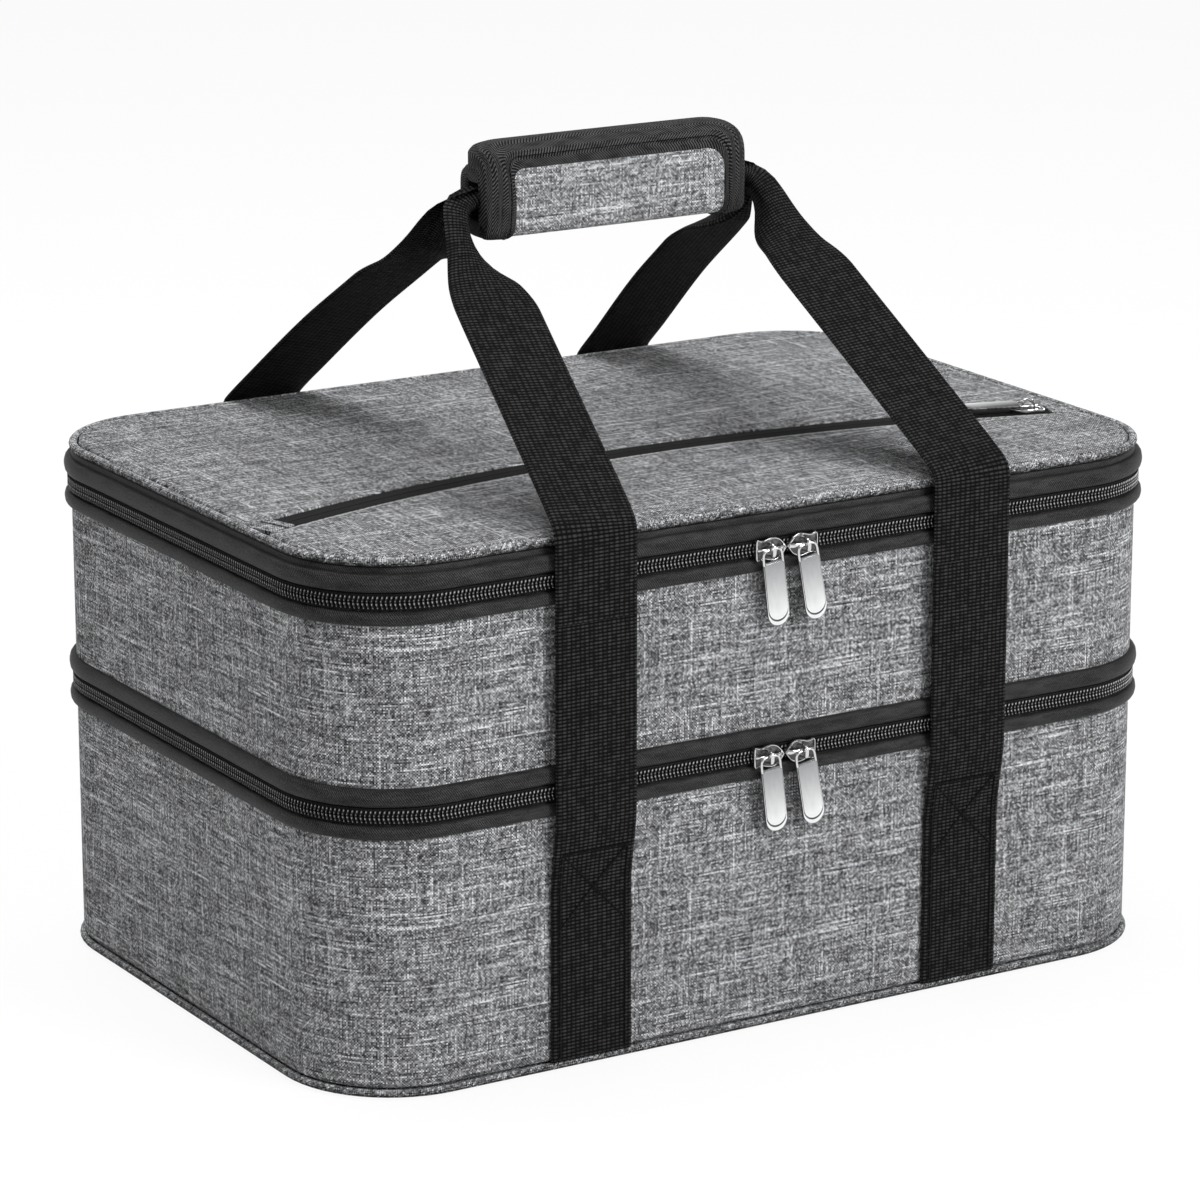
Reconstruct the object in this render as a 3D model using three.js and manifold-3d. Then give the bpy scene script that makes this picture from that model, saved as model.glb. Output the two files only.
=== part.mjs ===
// Two-deck insulated casserole carrier with zipped lids, webbing handles and a wrap-round grip.
// Millimetres, +Z up. The origin is the centre of the base face, +X runs along the length, -Y is the front.
import * as THREE from 'three';
import { mergeVertices } from 'three/addons/utils/BufferGeometryUtils.js';
import Module from 'manifold-3d';

// Body: outside sizes of the padded walls
const LENGTH = 410;
const DEPTH = 278;
const CORNER_RADIUS = 49;
const CORNER_STEPS = 6;
const LOWER_HEIGHT = 119.4;
const DECK_HEIGHT = 88.2;
const LID_HEIGHT = 17.6;
const WALL = 6;
const LINING = 0.8;
const SEAT_GAP = 0.3;

// Base: outer panel, welt cord round its edge and the stiffening board
const BASE_PANEL = 3.2;
const BASE_WELT_RADIUS = 1.6;
const BASE_WELT_OUT = 0.2;
const BASE_WELT_Z = 2.2;
const BASE_BOARD = 2.5;

// Zip bands: a padded binding roll on both sides of the coil
const ROLL_PROUD = 3;
const ROLL_EASE = 1.2;
const LOWER_ROLL = 6;
const UPPER_ROLL = 7.5;
const COIL_ROW = 3.4;
const COIL_PROUD = 2;
const COIL_EASE = 0.6;
const HINGE_TAPE = 0.8;
const HINGE_TAPE_HEIGHT = 16;

// Deck floor and lid layers
const DECK_FLOOR = 6;
const LID_PANEL = 3;
const LID_WELT_RADIUS = 1.8;
const LID_WELT_OUT = -1.1;
const LID_FOAM = 8;
const WELT_SIDES = 6;

// Lid pocket: a curved zip from edge to edge
const SLIT_MIDDLE_Y = -39;
const SLIT_SAG = 36;
const SLIT_WIDTH = 12;
const SLIT_STEPS = 24;
const SLIT_TAPE = 2;
const POUCH_MARGIN = 20;
const POUCH_DEPTH = 70;
const POCKET_SLIDER_INSET = 24;
const POCKET_SLIDER_X = LENGTH / 2 - POCKET_SLIDER_INSET;
const SLIT_REACH = 1.1;

// Sliders and pulls
const SLIDER_LENGTH = 13;
const SLIDER_THICKNESS = 2.6;
const SLIDER_NOSE_SHARE = 0.6;
const SLIDER_SPACING = 17;
const POCKET_SLIDER_WIDTH = 8;
const BAIL_WIDTH = 2.2;
const BAIL_WIRE = 1.3;
const BAIL_OPENING = 2.9;
const BAIL_SPAN = 6.4;
const BAIL_SINK = 0.5;
const PULL_WIDTH = 10.4;
const PULL_LENGTH = 33;
const PULL_THICKNESS = 1.5;
const PULL_RIM = 1.3;
const PULL_LOOP_WIDTH = 8.4;
const PULL_WINDOW_WIDTH = 5.6;
const PULL_WINDOW_HEIGHT = 4.2;
const PULL_SHOULDER = 2.4;
const PULL_SEGMENTS = 3;
const RIGHT_PULL_TILT = THREE.MathUtils.degToRad(10);
const LEFT_PULL_TILT = THREE.MathUtils.degToRad(7);

// Webbing straps
const STRAP_WIDTH = 38;
const STRAP_THICKNESS = 2;
const STRAP_X = 91.5;
const STRAP_SEWN_TOP = 97;
const RUN_START = 2;
const STRAP_RAMP = 11.5;
const RUN_ABOVE_SPLIT = 30.6;
const KNEE_RISE = 1.8;
const FOOT_BEND_RISE = 4.5;
const FOOT_BEND_IN = 4;

// Grip: padded wrap round both handles, a flap that opens at its bottom front edge
const GRIP_LENGTH = 128;
const GRIP_HEIGHT = 40;
const GRIP_THICKNESS = 26;
const GRIP_BOTTOM = 318;
const GRIP_CORNER = 8;
const GRIP_CORNER_STEPS = 4;
const SHARPEST_MITRE = 0.5;
const GRIP_PAD = 3.4;
const GRIP_SPLIT_Y = -6;
const FLAP_LIP_END = 8;
const WRAP_LIP_END = -5;
const BINDING = 1;
const BINDING_END_WIDTH = 12;
const BINDING_SKIRT = 1;
const BINDING_START = 8;
const BINDING_LAP = 1;
const FASTENER_TAPE = 0.9;
const FASTENER_MARGIN = 12;
const FASTENER_FROM_Y = -3;
const FASTENER_TO_Y = 6.5;

// Handle bars inside the grip and the turns into its ends
const BAR_WIDTH = 16;
const MOUTH_OUT = 5;
const MOUTH_Y = 5;
const RISER_OUT = 12;
const RISER_Y = 24;
const RISER_DROP = 7;
const TURN_PULL = 16;
const GATHER_SHARE = 0.5;
const RISER_STEPS = 3;
const TURN_STEPS = 10;

// Heights and planes that follow from the sizes above
const halfDepth = DEPTH / 2;
const midSplit = LOWER_HEIGHT;
const topSplit = LOWER_HEIGHT + DECK_HEIGHT;
const lidTop = topSplit + LID_HEIGHT;
const splitEase = SEAT_GAP / 2;
const liningOut = -WALL - SEAT_GAP;
const strapStandoff = ROLL_PROUD + SEAT_GAP + HINGE_TAPE + SEAT_GAP;
const sliderSeat = COIL_PROUD + SEAT_GAP;
const sliderFace = sliderSeat + SLIDER_THICKNESS;
const bailHeight = BAIL_OPENING + BAIL_WIRE;
const gripTop = GRIP_BOTTOM + GRIP_HEIGHT;
const flapTop = gripTop - BINDING - SEAT_GAP;
const flapFront = GRIP_THICKNESS / 2 - BINDING - SEAT_GAP;
const padLow = GRIP_BOTTOM + GRIP_PAD / 2;
const hookTop = flapTop - GRIP_PAD - SEAT_GAP;
const loopTop = hookTop - FASTENER_TAPE - SEAT_GAP;
const wrapZ = loopTop - FASTENER_TAPE - SEAT_GAP - GRIP_PAD / 2;
const barZ = (padLow + wrapZ) / 2;
const barY = flapFront - GRIP_PAD - SEAT_GAP - STRAP_THICKNESS / 2;
const slitRise = (LENGTH / 2) ** 2 / (2 * SLIT_SAG) + SLIT_SAG / 2;
const slitCentreY = SLIT_MIDDLE_Y - slitRise;

const wasm = await Module();
wasm.setup();

const greyCloth = { color: 0x8b8d90, roughness: 0.95, metalness: 0 };
const blackCloth = { color: 0x1b1b1d, roughness: 0.9, metalness: 0 };
const blackWebbing = { color: 0x161617, roughness: 0.85, metalness: 0 };
const blackCoil = { color: 0x0f0f10, roughness: 0.45, metalness: 0 };
const foilLining = { color: 0xc9cccf, roughness: 0.35, metalness: 0.6 };
const paleFoam = { color: 0xd8d8d2, roughness: 1, metalness: 0 };
const fibreBoard = { color: 0x8a7a62, roughness: 0.9, metalness: 0 };
const brightSteel = { color: 0xd6d7d9, roughness: 0.15, metalness: 1 };

// Makes a named piece
function piece(name, geometry, finish) {
  const mesh = new THREE.Mesh(geometry, new THREE.MeshStandardMaterial(finish));
  mesh.name = name;
  return mesh;
}

// Builds a closed mesh and turns its faces outwards
function closedMesh(points, faces) {
  const cross = new THREE.Vector3();
  const volume = faces.reduce((sum, [a, b, c]) => (
    sum + cross.crossVectors(points[b], points[c]).dot(points[a])
  ), 0);
  const outward = volume > 0 ? faces : faces.map(([a, b, c]) => [a, c, b]);
  const geometry = new THREE.BufferGeometry();
  const coordinates = points.flatMap((point) => point.toArray());
  geometry.setAttribute('position', new THREE.Float32BufferAttribute(coordinates, 3));
  geometry.setIndex(outward.flat());
  geometry.computeVertexNormals();
  return geometry;
}

// Joins loops with as many points each into one body: a ring, or a run with flat ends
function loft(loops, isRing) {
  const count = loops[0].length;
  const joins = isRing ? loops.length : loops.length - 1;
  const faces = [];
  for (let row = 0; row < joins; row += 1) {
    const here = row * count;
    const there = ((row + 1) % loops.length) * count;
    for (let k = 0; k < count; k += 1) {
      const next = (k + 1) % count;
      faces.push([here + k, here + next, there + next]);
      faces.push([here + k, there + next, there + k]);
    }
  }
  if (!isRing) {
    const last = (loops.length - 1) * count;
    for (let k = 1; k < count - 1; k += 1) {
      faces.push([0, k + 1, k]);
      faces.push([last, last + k, last + k + 1]);
    }
  }
  return closedMesh(loops.flat(), faces);
}

// The body's plan outline, moved outwards by outset: a rectangle with round corners
function outline(outset) {
  const radius = CORNER_RADIUS + outset;
  const corners = [[1, 1], [-1, 1], [-1, -1], [1, -1]];
  const points = [];
  corners.forEach(([sideX, sideY], quarter) => {
    const centreX = sideX * (LENGTH / 2 - CORNER_RADIUS);
    const centreY = sideY * (halfDepth - CORNER_RADIUS);
    for (let step = 0; step <= CORNER_STEPS; step += 1) {
      const angle = (quarter + step / CORNER_STEPS) * Math.PI / 2;
      points.push([centreX + radius * Math.cos(angle), centreY + radius * Math.sin(angle)]);
    }
  });
  return points;
}

// A band right round the body, with a section given as outset and height pairs
function ring(section) {
  const rails = section.map(([outset]) => outline(outset));
  const loops = rails[0].map((_, i) => section.map(([, z], k) => new THREE.Vector3(...rails[k][i], z)));
  return loft(loops, true);
}

// The same band, left open along the straight of the back
function threeSides(section) {
  const rails = section.map(([outset]) => outline(outset));
  const first = CORNER_STEPS + 1;
  const order = rails[0].map((_, i) => (i + first) % rails[0].length);
  const loops = order.map((i) => section.map(([, z], k) => new THREE.Vector3(...rails[k][i], z)));
  return loft(loops, false);
}

// A plate or a tray: outlines stacked from the under face to the upper face
function stack(levels) {
  const loops = levels.map(([outset, z]) => outline(outset).map(([x, y]) => new THREE.Vector3(x, y, z)));
  return loft(loops, false);
}

function plate(outset, from, to) {
  return stack([[outset, from], [outset, to]]);
}

function tray(outset, from, to) {
  const inside = outset - LINING;
  return stack([[outset, from], [outset, to], [inside, to], [inside, from + LINING]]);
}

function wallRing(from, to) {
  return ring([[-WALL, from], [0, from], [0, to], [-WALL, to]]);
}

// Half-round section of a binding roll or a coil row
function easedSection(proud, ease, from, to) {
  return [
    [SEAT_GAP, from],
    [proud - ease, from],
    [proud, from + ease],
    [proud, to - ease],
    [proud - ease, to],
    [SEAT_GAP, to],
  ];
}

function weltSection(out, z, radius) {
  return Array.from({ length: WELT_SIDES }, (_, k) => {
    const angle = (2 * k + 1) * Math.PI / WELT_SIDES;
    return [out + radius * Math.cos(angle), z + radius * Math.sin(angle)];
  });
}

// Extrudes a shape along one of the body's axes
function extrudeAlong(shape, depth, across, up, curveSegments) {
  const geometry = new THREE.ExtrudeGeometry(shape, { depth, bevelEnabled: false, curveSegments });
  const along = new THREE.Vector3().crossVectors(across, up);
  geometry.translate(0, 0, -depth / 2);
  geometry.applyMatrix4(new THREE.Matrix4().makeBasis(across, up, along));
  return geometry;
}

const alongX = new THREE.Vector3(1, 0, 0);
const alongY = new THREE.Vector3(0, 1, 0);
const alongZ = new THREE.Vector3(0, 0, 1);

function shapeOf(points) {
  return new THREE.Shape(points.map(([u, v]) => new THREE.Vector2(u, v)));
}

// A bar along X whose section is given as Y and Z pairs
function barAlongX(section, length) {
  return extrudeAlong(shapeOf(section), length, alongY, alongZ);
}

// A closed mesh as a solid for cutting and joining, and back again
function solidOf(geometry) {
  const bare = geometry.clone();
  bare.deleteAttribute('normal');
  bare.deleteAttribute('uv');
  const merged = mergeVertices(bare);
  return new wasm.Manifold(new wasm.Mesh({
    numProp: 3,
    vertProperties: new Float32Array(merged.attributes.position.array),
    triVerts: new Uint32Array(merged.index.array),
  }));
}

function geometryOf(solid) {
  const mesh = solid.getMesh();
  const geometry = new THREE.BufferGeometry();
  geometry.setAttribute('position', new THREE.BufferAttribute(new Float32Array(mesh.vertProperties), 3));
  geometry.setIndex(new THREE.BufferAttribute(new Uint32Array(mesh.triVerts), 1));
  geometry.computeVertexNormals();
  return geometry;
}

// A path with its inner corners rounded, each by its own radius
function roundedPath(points, radii) {
  const path = [points[0]];
  for (let k = 1; k < points.length - 1; k += 1) {
    const corner = new THREE.Vector2(...points[k]);
    const radius = radii[k - 1];
    const before = new THREE.Vector2(...points[k - 1]).sub(corner).setLength(radius).add(corner);
    const after = new THREE.Vector2(...points[k + 1]).sub(corner).setLength(radius).add(corner);
    const bend = new THREE.QuadraticBezierCurve(before, corner, after);
    path.push(...bend.getPoints(GRIP_CORNER_STEPS).map((point) => point.toArray()));
  }
  path.push(points[points.length - 1]);
  return path;
}

// A strip of even thickness along a path, as a closed section
function stripSection(path, thickness) {
  const left = [];
  const right = [];
  path.forEach((point, k) => {
    const here = new THREE.Vector2(...point);
    const from = new THREE.Vector2(...path[Math.max(k - 1, 0)]);
    const to = new THREE.Vector2(...path[Math.min(k + 1, path.length - 1)]);
    const back = here.clone().sub(from).normalize();
    const ahead = to.sub(here).normalize();
    const way = back.add(ahead).normalize();
    const isEnd = k === 0 || k === path.length - 1;
    const mitre = isEnd ? 1 : Math.max(way.dot(ahead), SHARPEST_MITRE);
    const stretch = thickness / 2 / mitre;
    left.push([here.x - way.y * stretch, here.y + way.x * stretch]);
    right.unshift([here.x + way.y * stretch, here.y - way.x * stretch]);
  });
  return [...left, ...right];
}

// Zip bands: binding rolls and coil rows below and above a parting line
function bandBelow(group, name, split) {
  const coilTop = split - splitEase;
  const rollTop = coilTop - COIL_ROW - SEAT_GAP;
  const coil = easedSection(COIL_PROUD, COIL_EASE, coilTop - COIL_ROW, coilTop);
  const roll = easedSection(ROLL_PROUD, ROLL_EASE, rollTop - LOWER_ROLL, rollTop);
  group.add(piece(`${name}_lower_coil`, threeSides(coil), blackCoil));
  group.add(piece(`${name}_lower_binding`, ring(roll), blackCloth));
}

function bandAbove(group, name, split) {
  const coilBottom = split + splitEase;
  const rollBottom = coilBottom + COIL_ROW + SEAT_GAP;
  const coil = easedSection(COIL_PROUD, COIL_EASE, coilBottom, coilBottom + COIL_ROW);
  const roll = easedSection(ROLL_PROUD, ROLL_EASE, rollBottom, rollBottom + UPPER_ROLL);
  group.add(piece(`${name}_upper_coil`, threeSides(coil), blackCoil));
  group.add(piece(`${name}_upper_binding`, ring(roll), blackCloth));
}

// The cloth hinge across the back of a parting line
function hingeTape(name, split) {
  const inner = halfDepth + ROLL_PROUD + SEAT_GAP;
  const outer = inner + HINGE_TAPE;
  const low = split - HINGE_TAPE_HEIGHT / 2;
  const high = split + HINGE_TAPE_HEIGHT / 2;
  const section = [[inner, low], [outer, low], [outer, high], [inner, high]];
  return piece(name, barAlongX(section, LENGTH - 2 * CORNER_RADIUS), blackCloth);
}

// Lower compartment
function lowerTub() {
  const tub = new THREE.Group();
  const panelOut = BASE_WELT_OUT - BASE_WELT_RADIUS - SEAT_GAP;
  const wallBottom = BASE_WELT_Z + BASE_WELT_RADIUS + SEAT_GAP;
  const boardBottom = BASE_PANEL + SEAT_GAP;
  const liningBottom = boardBottom + BASE_BOARD + SEAT_GAP;
  const welt = weltSection(BASE_WELT_OUT, BASE_WELT_Z, BASE_WELT_RADIUS);
  tub.add(piece('base_panel', plate(panelOut, 0, BASE_PANEL), greyCloth));
  tub.add(piece('base_welt', ring(welt), greyCloth));
  tub.add(piece('base_board', plate(liningOut, boardBottom, boardBottom + BASE_BOARD), fibreBoard));
  tub.add(piece('lower_wall', wallRing(wallBottom, midSplit - splitEase), greyCloth));
  tub.add(piece('lower_lining', tray(liningOut, liningBottom, midSplit - splitEase), foilLining));
  tub.add(hingeTape('middle_hinge_tape', midSplit));
  bandBelow(tub, 'middle_zip', midSplit);
  return tub;
}

// Upper compartment, which is also the lower compartment's lid
function upperDeck() {
  const deck = new THREE.Group();
  const skinBottom = midSplit + splitEase;
  const floorBottom = skinBottom + LINING + SEAT_GAP;
  const liningBottom = floorBottom + DECK_FLOOR + SEAT_GAP;
  deck.add(piece('deck_wall', wallRing(skinBottom, topSplit - splitEase), greyCloth));
  deck.add(piece('deck_under_lining', plate(liningOut, skinBottom, skinBottom + LINING), foilLining));
  deck.add(piece('deck_floor', plate(liningOut, floorBottom, floorBottom + DECK_FLOOR), paleFoam));
  deck.add(piece('deck_lining', tray(liningOut, liningBottom, topSplit - splitEase), foilLining));
  deck.add(hingeTape('lid_hinge_tape', topSplit));
  bandAbove(deck, 'middle_zip', midSplit);
  bandBelow(deck, 'top_zip', topSplit);
  return deck;
}

// A disc sector that reaches past the lid, whose rim is the pocket zip's curve
function slitDisc(radius) {
  const reach = Math.asin(LENGTH / radius / 2) * SLIT_REACH;
  const shape = new THREE.Shape();
  shape.moveTo(radius * Math.sin(reach), slitCentreY + radius * Math.cos(reach) - LENGTH);
  for (let step = 0; step <= SLIT_STEPS; step += 1) {
    const angle = reach * (1 - 2 * step / SLIT_STEPS);
    shape.lineTo(radius * Math.sin(angle), slitCentreY + radius * Math.cos(angle));
  }
  shape.lineTo(-radius * Math.sin(reach), slitCentreY + radius * Math.cos(reach) - LENGTH);
  const geometry = new THREE.ExtrudeGeometry(shape, { depth: LID_HEIGHT, bevelEnabled: false });
  return solidOf(geometry.translate(0, 0, topSplit + SEAT_GAP + LID_HEIGHT / 2));
}

// Lid: wall, layers, top panels and the pocket zip between them
function lid() {
  const group = new THREE.Group();
  const weltZ = lidTop - LID_WELT_RADIUS;
  const panelOut = LID_WELT_OUT - LID_WELT_RADIUS - SEAT_GAP;
  const panelBottom = lidTop - LID_PANEL;
  const pouchTop = panelBottom - SEAT_GAP;
  const foamTop = pouchTop - LINING - SEAT_GAP;
  const liningTop = foamTop - LID_FOAM - SEAT_GAP;
  const wallTop = weltZ - LID_WELT_RADIUS - SEAT_GAP;
  const sheet = solidOf(plate(panelOut, panelBottom, lidTop));
  const tape = solidOf(plate(panelOut, panelBottom, panelBottom + SLIT_TAPE));
  const pouch = solidOf(plate(liningOut - POUCH_MARGIN, pouchTop - LINING, pouchTop));
  const frontRadius = slitRise;
  const rearRadius = slitRise + SLIT_WIDTH;
  const frontPanel = sheet.intersect(slitDisc(frontRadius));
  const rearPanel = sheet.subtract(slitDisc(rearRadius));
  const zipTape = tape.intersect(slitDisc(rearRadius - SEAT_GAP)).subtract(slitDisc(frontRadius + SEAT_GAP));
  const pouchSheet = pouch.intersect(slitDisc(rearRadius + POUCH_DEPTH));
  const welt = weltSection(LID_WELT_OUT, weltZ, LID_WELT_RADIUS);
  group.add(piece('lid_wall', wallRing(topSplit + splitEase, wallTop), greyCloth));
  group.add(piece('lid_welt', ring(welt), greyCloth));
  group.add(piece('lid_front_panel', geometryOf(frontPanel), greyCloth));
  group.add(piece('lid_rear_panel', geometryOf(rearPanel), greyCloth));
  group.add(piece('pocket_zip_tape', geometryOf(zipTape), blackCloth));
  group.add(piece('pocket_pouch', geometryOf(pouchSheet), blackCloth));
  group.add(piece('lid_foam', plate(liningOut, foamTop - LID_FOAM, foamTop), paleFoam));
  group.add(piece('lid_lining', plate(liningOut, liningTop - LINING, liningTop), foilLining));
  bandAbove(group, 'top_zip', topSplit);
  return group;
}

// A slider lying in the X and Z plane, facing -Y, with its nose towards -X; its bail turns about Y
function slider(height, bailTurn) {
  const half = height / 2;
  const nose = half * SLIDER_NOSE_SHARE;
  const body = shapeOf([
    [-SLIDER_LENGTH / 2, -nose / 2],
    [-SLIDER_LENGTH / 4, -half],
    [SLIDER_LENGTH / 4, -half],
    [SLIDER_LENGTH / 2, -nose],
    [SLIDER_LENGTH / 2, nose],
    [SLIDER_LENGTH / 4, half],
    [-SLIDER_LENGTH / 4, half],
    [-SLIDER_LENGTH / 2, nose / 2],
  ]);
  const bail = [
    [BAIL_SINK, -BAIL_SPAN / 2],
    [-bailHeight, -BAIL_SPAN / 2],
    [-bailHeight, BAIL_SPAN / 2],
    [BAIL_SINK, BAIL_SPAN / 2],
    [BAIL_SINK, BAIL_SPAN / 2 - BAIL_WIRE],
    [-BAIL_OPENING, BAIL_SPAN / 2 - BAIL_WIRE],
    [-BAIL_OPENING, BAIL_WIRE - BAIL_SPAN / 2],
    [BAIL_SINK, BAIL_WIRE - BAIL_SPAN / 2],
  ];
  const block = extrudeAlong(body, SLIDER_THICKNESS, alongX, alongZ);
  block.translate(0, SLIDER_THICKNESS / 2, 0);
  const arch = barAlongX(bail, BAIL_WIDTH).rotateY(bailTurn);
  return geometryOf(solidOf(block).add(solidOf(arch)));
}

// A pull hanging in the X and Z plane from the bail, with its top rim on the origin
function pull() {
  const shape = new THREE.Shape();
  const rimTop = PULL_RIM / 2;
  const shoulder = -rimTop - PULL_WINDOW_HEIGHT - PULL_RIM;
  const endRadius = PULL_WIDTH / 2;
  const endZ = rimTop - PULL_LENGTH + endRadius;
  const loopHalf = PULL_LOOP_WIDTH / 2;
  shape.moveTo(-loopHalf + PULL_RIM, rimTop);
  shape.lineTo(-loopHalf, rimTop - PULL_RIM);
  shape.lineTo(-loopHalf, shoulder);
  shape.lineTo(-endRadius, shoulder - PULL_SHOULDER);
  shape.lineTo(-endRadius, endZ);
  shape.absarc(0, endZ, endRadius, Math.PI, 2 * Math.PI, false);
  shape.lineTo(endRadius, shoulder - PULL_SHOULDER);
  shape.lineTo(loopHalf, shoulder);
  shape.lineTo(loopHalf, rimTop - PULL_RIM);
  shape.lineTo(loopHalf - PULL_RIM, rimTop);
  shape.closePath();
  const windowHalf = PULL_WINDOW_WIDTH / 2;
  const window = new THREE.Path();
  window.moveTo(-windowHalf, -rimTop);
  window.lineTo(windowHalf, -rimTop);
  window.lineTo(windowHalf, -rimTop - PULL_WINDOW_HEIGHT);
  window.lineTo(-windowHalf, -rimTop - PULL_WINDOW_HEIGHT);
  window.closePath();
  shape.holes.push(window);
  return extrudeAlong(shape, PULL_THICKNESS, alongX, alongZ, PULL_SEGMENTS);
}

// Two sliders nose to nose at the middle of a zip's front, each with its pull
function sliderPair(zipName, split) {
  const pair = new THREE.Group();
  const height = 2 * COIL_ROW;
  [['left', -1], ['right', 1]].forEach(([side, sign]) => {
    const body = piece(`${zipName}_slider_${side}`, slider(height, 0), brightSteel);
    const tab = piece(`${zipName}_pull_${side}`, pull(), brightSteel);
    body.position.set(sign * SLIDER_SPACING / 2, -halfDepth - sliderFace, split);
    tab.position.set(sign * SLIDER_SPACING / 2, -halfDepth - sliderFace - BAIL_OPENING / 2, split);
    body.rotation.y = sign > 0 ? 0 : Math.PI;
    tab.rotation.y = sign > 0 ? -RIGHT_PULL_TILT : -LEFT_PULL_TILT;
    pair.add(body, tab);
  });
  return pair;
}

// The pocket's slider on its curved zip, with the pull lying along the zip towards the middle
function pocketSlider() {
  const radius = slitRise + SLIT_WIDTH / 2;
  const faceZ = lidTop - LID_PANEL + SLIT_TAPE + SEAT_GAP + SLIDER_THICKNESS;
  const body = piece('pocket_slider', slider(POCKET_SLIDER_WIDTH, Math.PI / 2), brightSteel);
  const tab = piece('pocket_pull', pull(), brightSteel);
  tab.position.y = -BAIL_OPENING / 2;
  tab.rotation.y = Math.PI / 2;
  const seat = new THREE.Group();
  seat.position.set(0, radius, faceZ);
  seat.rotation.x = -Math.PI / 2;
  seat.add(body, tab);
  const around = new THREE.Group();
  around.position.y = slitCentreY;
  around.rotation.z = -Math.asin(POCKET_SLIDER_X / radius);
  around.add(seat);
  return around;
}

// The part of a strap's route between two heights
function routeBetween(route, from, to) {
  const across = (z) => {
    const next = route.findIndex(([, height]) => height >= z);
    const [lowY, lowZ] = route[next - 1];
    const [highY, highZ] = route[next];
    return THREE.MathUtils.mapLinear(z, lowZ, highZ, lowY, highY);
  };
  const between = route.filter(([, z]) => z > from && z < to);
  return [[across(from), from], ...between, [across(to), to]];
}

// One strap as seen on the front: a sewn base, a run over the zip bands and a knee up to the handle,
// parted at the two heights where it bends
function strap(name, x, bends) {
  const group = new THREE.Group();
  const sewnIn = -halfDepth - SEAT_GAP - STRAP_THICKNESS / 2;
  const runIn = -halfDepth - strapStandoff - STRAP_THICKNESS / 2;
  const bottom = BASE_WELT_Z + BASE_WELT_RADIUS;
  const top = lidTop + KNEE_RISE;
  const route = [
    [sewnIn, bottom],
    [sewnIn, STRAP_SEWN_TOP + RUN_START],
    [runIn, STRAP_SEWN_TOP + STRAP_RAMP],
    [runIn, top],
  ];
  const ends = [bottom + SEAT_GAP - splitEase, ...bends, top];
  ['base', 'run', 'knee'].forEach((part, k) => {
    const length = routeBetween(route, ends[k] + splitEase, ends[k + 1] - splitEase);
    const geometry = barAlongX(stripSection(length, STRAP_THICKNESS), STRAP_WIDTH);
    const mesh = piece(`${name}_strap_${part}`, geometry, blackWebbing);
    mesh.position.x = x;
    group.add(mesh);
  });
  return group;
}

// Stations along the left half of a front handle: centre, width direction and half width
function handleHalf() {
  const gripEnd = GRIP_LENGTH / 2;
  const runIn = -halfDepth - strapStandoff - STRAP_THICKNESS / 2;
  const foot = new THREE.Vector3(-STRAP_X, runIn, lidTop + KNEE_RISE + splitEase);
  const bend = foot.clone().add(new THREE.Vector3(0, FOOT_BEND_IN, FOOT_BEND_RISE));
  const riserEnd = new THREE.Vector3(-gripEnd - RISER_OUT, -RISER_Y, GRIP_BOTTOM - RISER_DROP);
  const mouth = new THREE.Vector3(-gripEnd - MOUTH_OUT, -MOUTH_Y, barZ);
  const rise = riserEnd.clone().sub(bend).normalize();
  const stations = [{ centre: foot, way: alongZ, turn: 0 }];
  for (let step = 0; step < RISER_STEPS; step += 1) {
    const centre = bend.clone().lerp(riserEnd, step / RISER_STEPS);
    stations.push({ centre, way: rise, turn: 0 });
  }
  const turning = new THREE.CubicBezierCurve3(
    riserEnd,
    riserEnd.clone().addScaledVector(rise, TURN_PULL),
    mouth.clone().addScaledVector(alongX, -TURN_PULL),
    mouth,
  );
  for (let step = 0; step <= TURN_STEPS; step += 1) {
    const share = step / TURN_STEPS;
    stations.push({ centre: turning.getPoint(share), way: turning.getTangent(share), turn: share });
  }
  const barStart = new THREE.Vector3(-gripEnd + TURN_PULL, -barY, barZ);
  stations.push({ centre: barStart, way: alongX, turn: 1 });
  return stations.map(({ centre, way, turn }) => {
    const eased = THREE.MathUtils.smoothstep(turn, 0, 1);
    const angle = eased * Math.PI / 2;
    const across = new THREE.Vector3(Math.cos(angle), 0, -Math.sin(angle));
    across.addScaledVector(way, -across.dot(way)).normalize();
    const gathered = THREE.MathUtils.smoothstep(turn, 0, GATHER_SHARE);
    const half = THREE.MathUtils.lerp(STRAP_WIDTH, BAR_WIDTH, gathered) / 2;
    return { centre, across, half, face: new THREE.Vector3().crossVectors(way, across) };
  });
}

// A handle: two risers and the bar between them as one strip of webbing
function handle(name) {
  const left = handleHalf();
  const mirror = (v) => new THREE.Vector3(-v.x, v.y, v.z);
  const right = left.map(({ centre, across, half, face }) => (
    { centre: mirror(centre), across: mirror(across), half, face: mirror(face) }
  )).reverse();
  const loops = [...left, ...right].map(({ centre, across, half, face }) => {
    const corners = [[1, 1], [1, -1], [-1, -1], [-1, 1]];
    return corners.map(([side, layer]) => centre.clone()
      .addScaledVector(across, side * half)
      .addScaledVector(face, layer * STRAP_THICKNESS / 2));
  });
  return piece(name, loft(loops, false), blackWebbing);
}

// The front's straps and handle; the back's are the same turned half round, and bend with the cloth hinges
function handleSet(side, isBack) {
  const group = new THREE.Group();
  const sides = isBack ? ['right', 'left'] : ['left', 'right'];
  const bends = isBack ? [midSplit, topSplit] : [STRAP_SEWN_TOP, midSplit + RUN_ABOVE_SPLIT];
  group.add(strap(`${side}_${sides[0]}`, -STRAP_X, bends));
  group.add(strap(`${side}_${sides[1]}`, STRAP_X, bends));
  group.add(handle(`${side}_handle`));
  group.rotation.z = isBack ? Math.PI : 0;
  return group;
}

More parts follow.
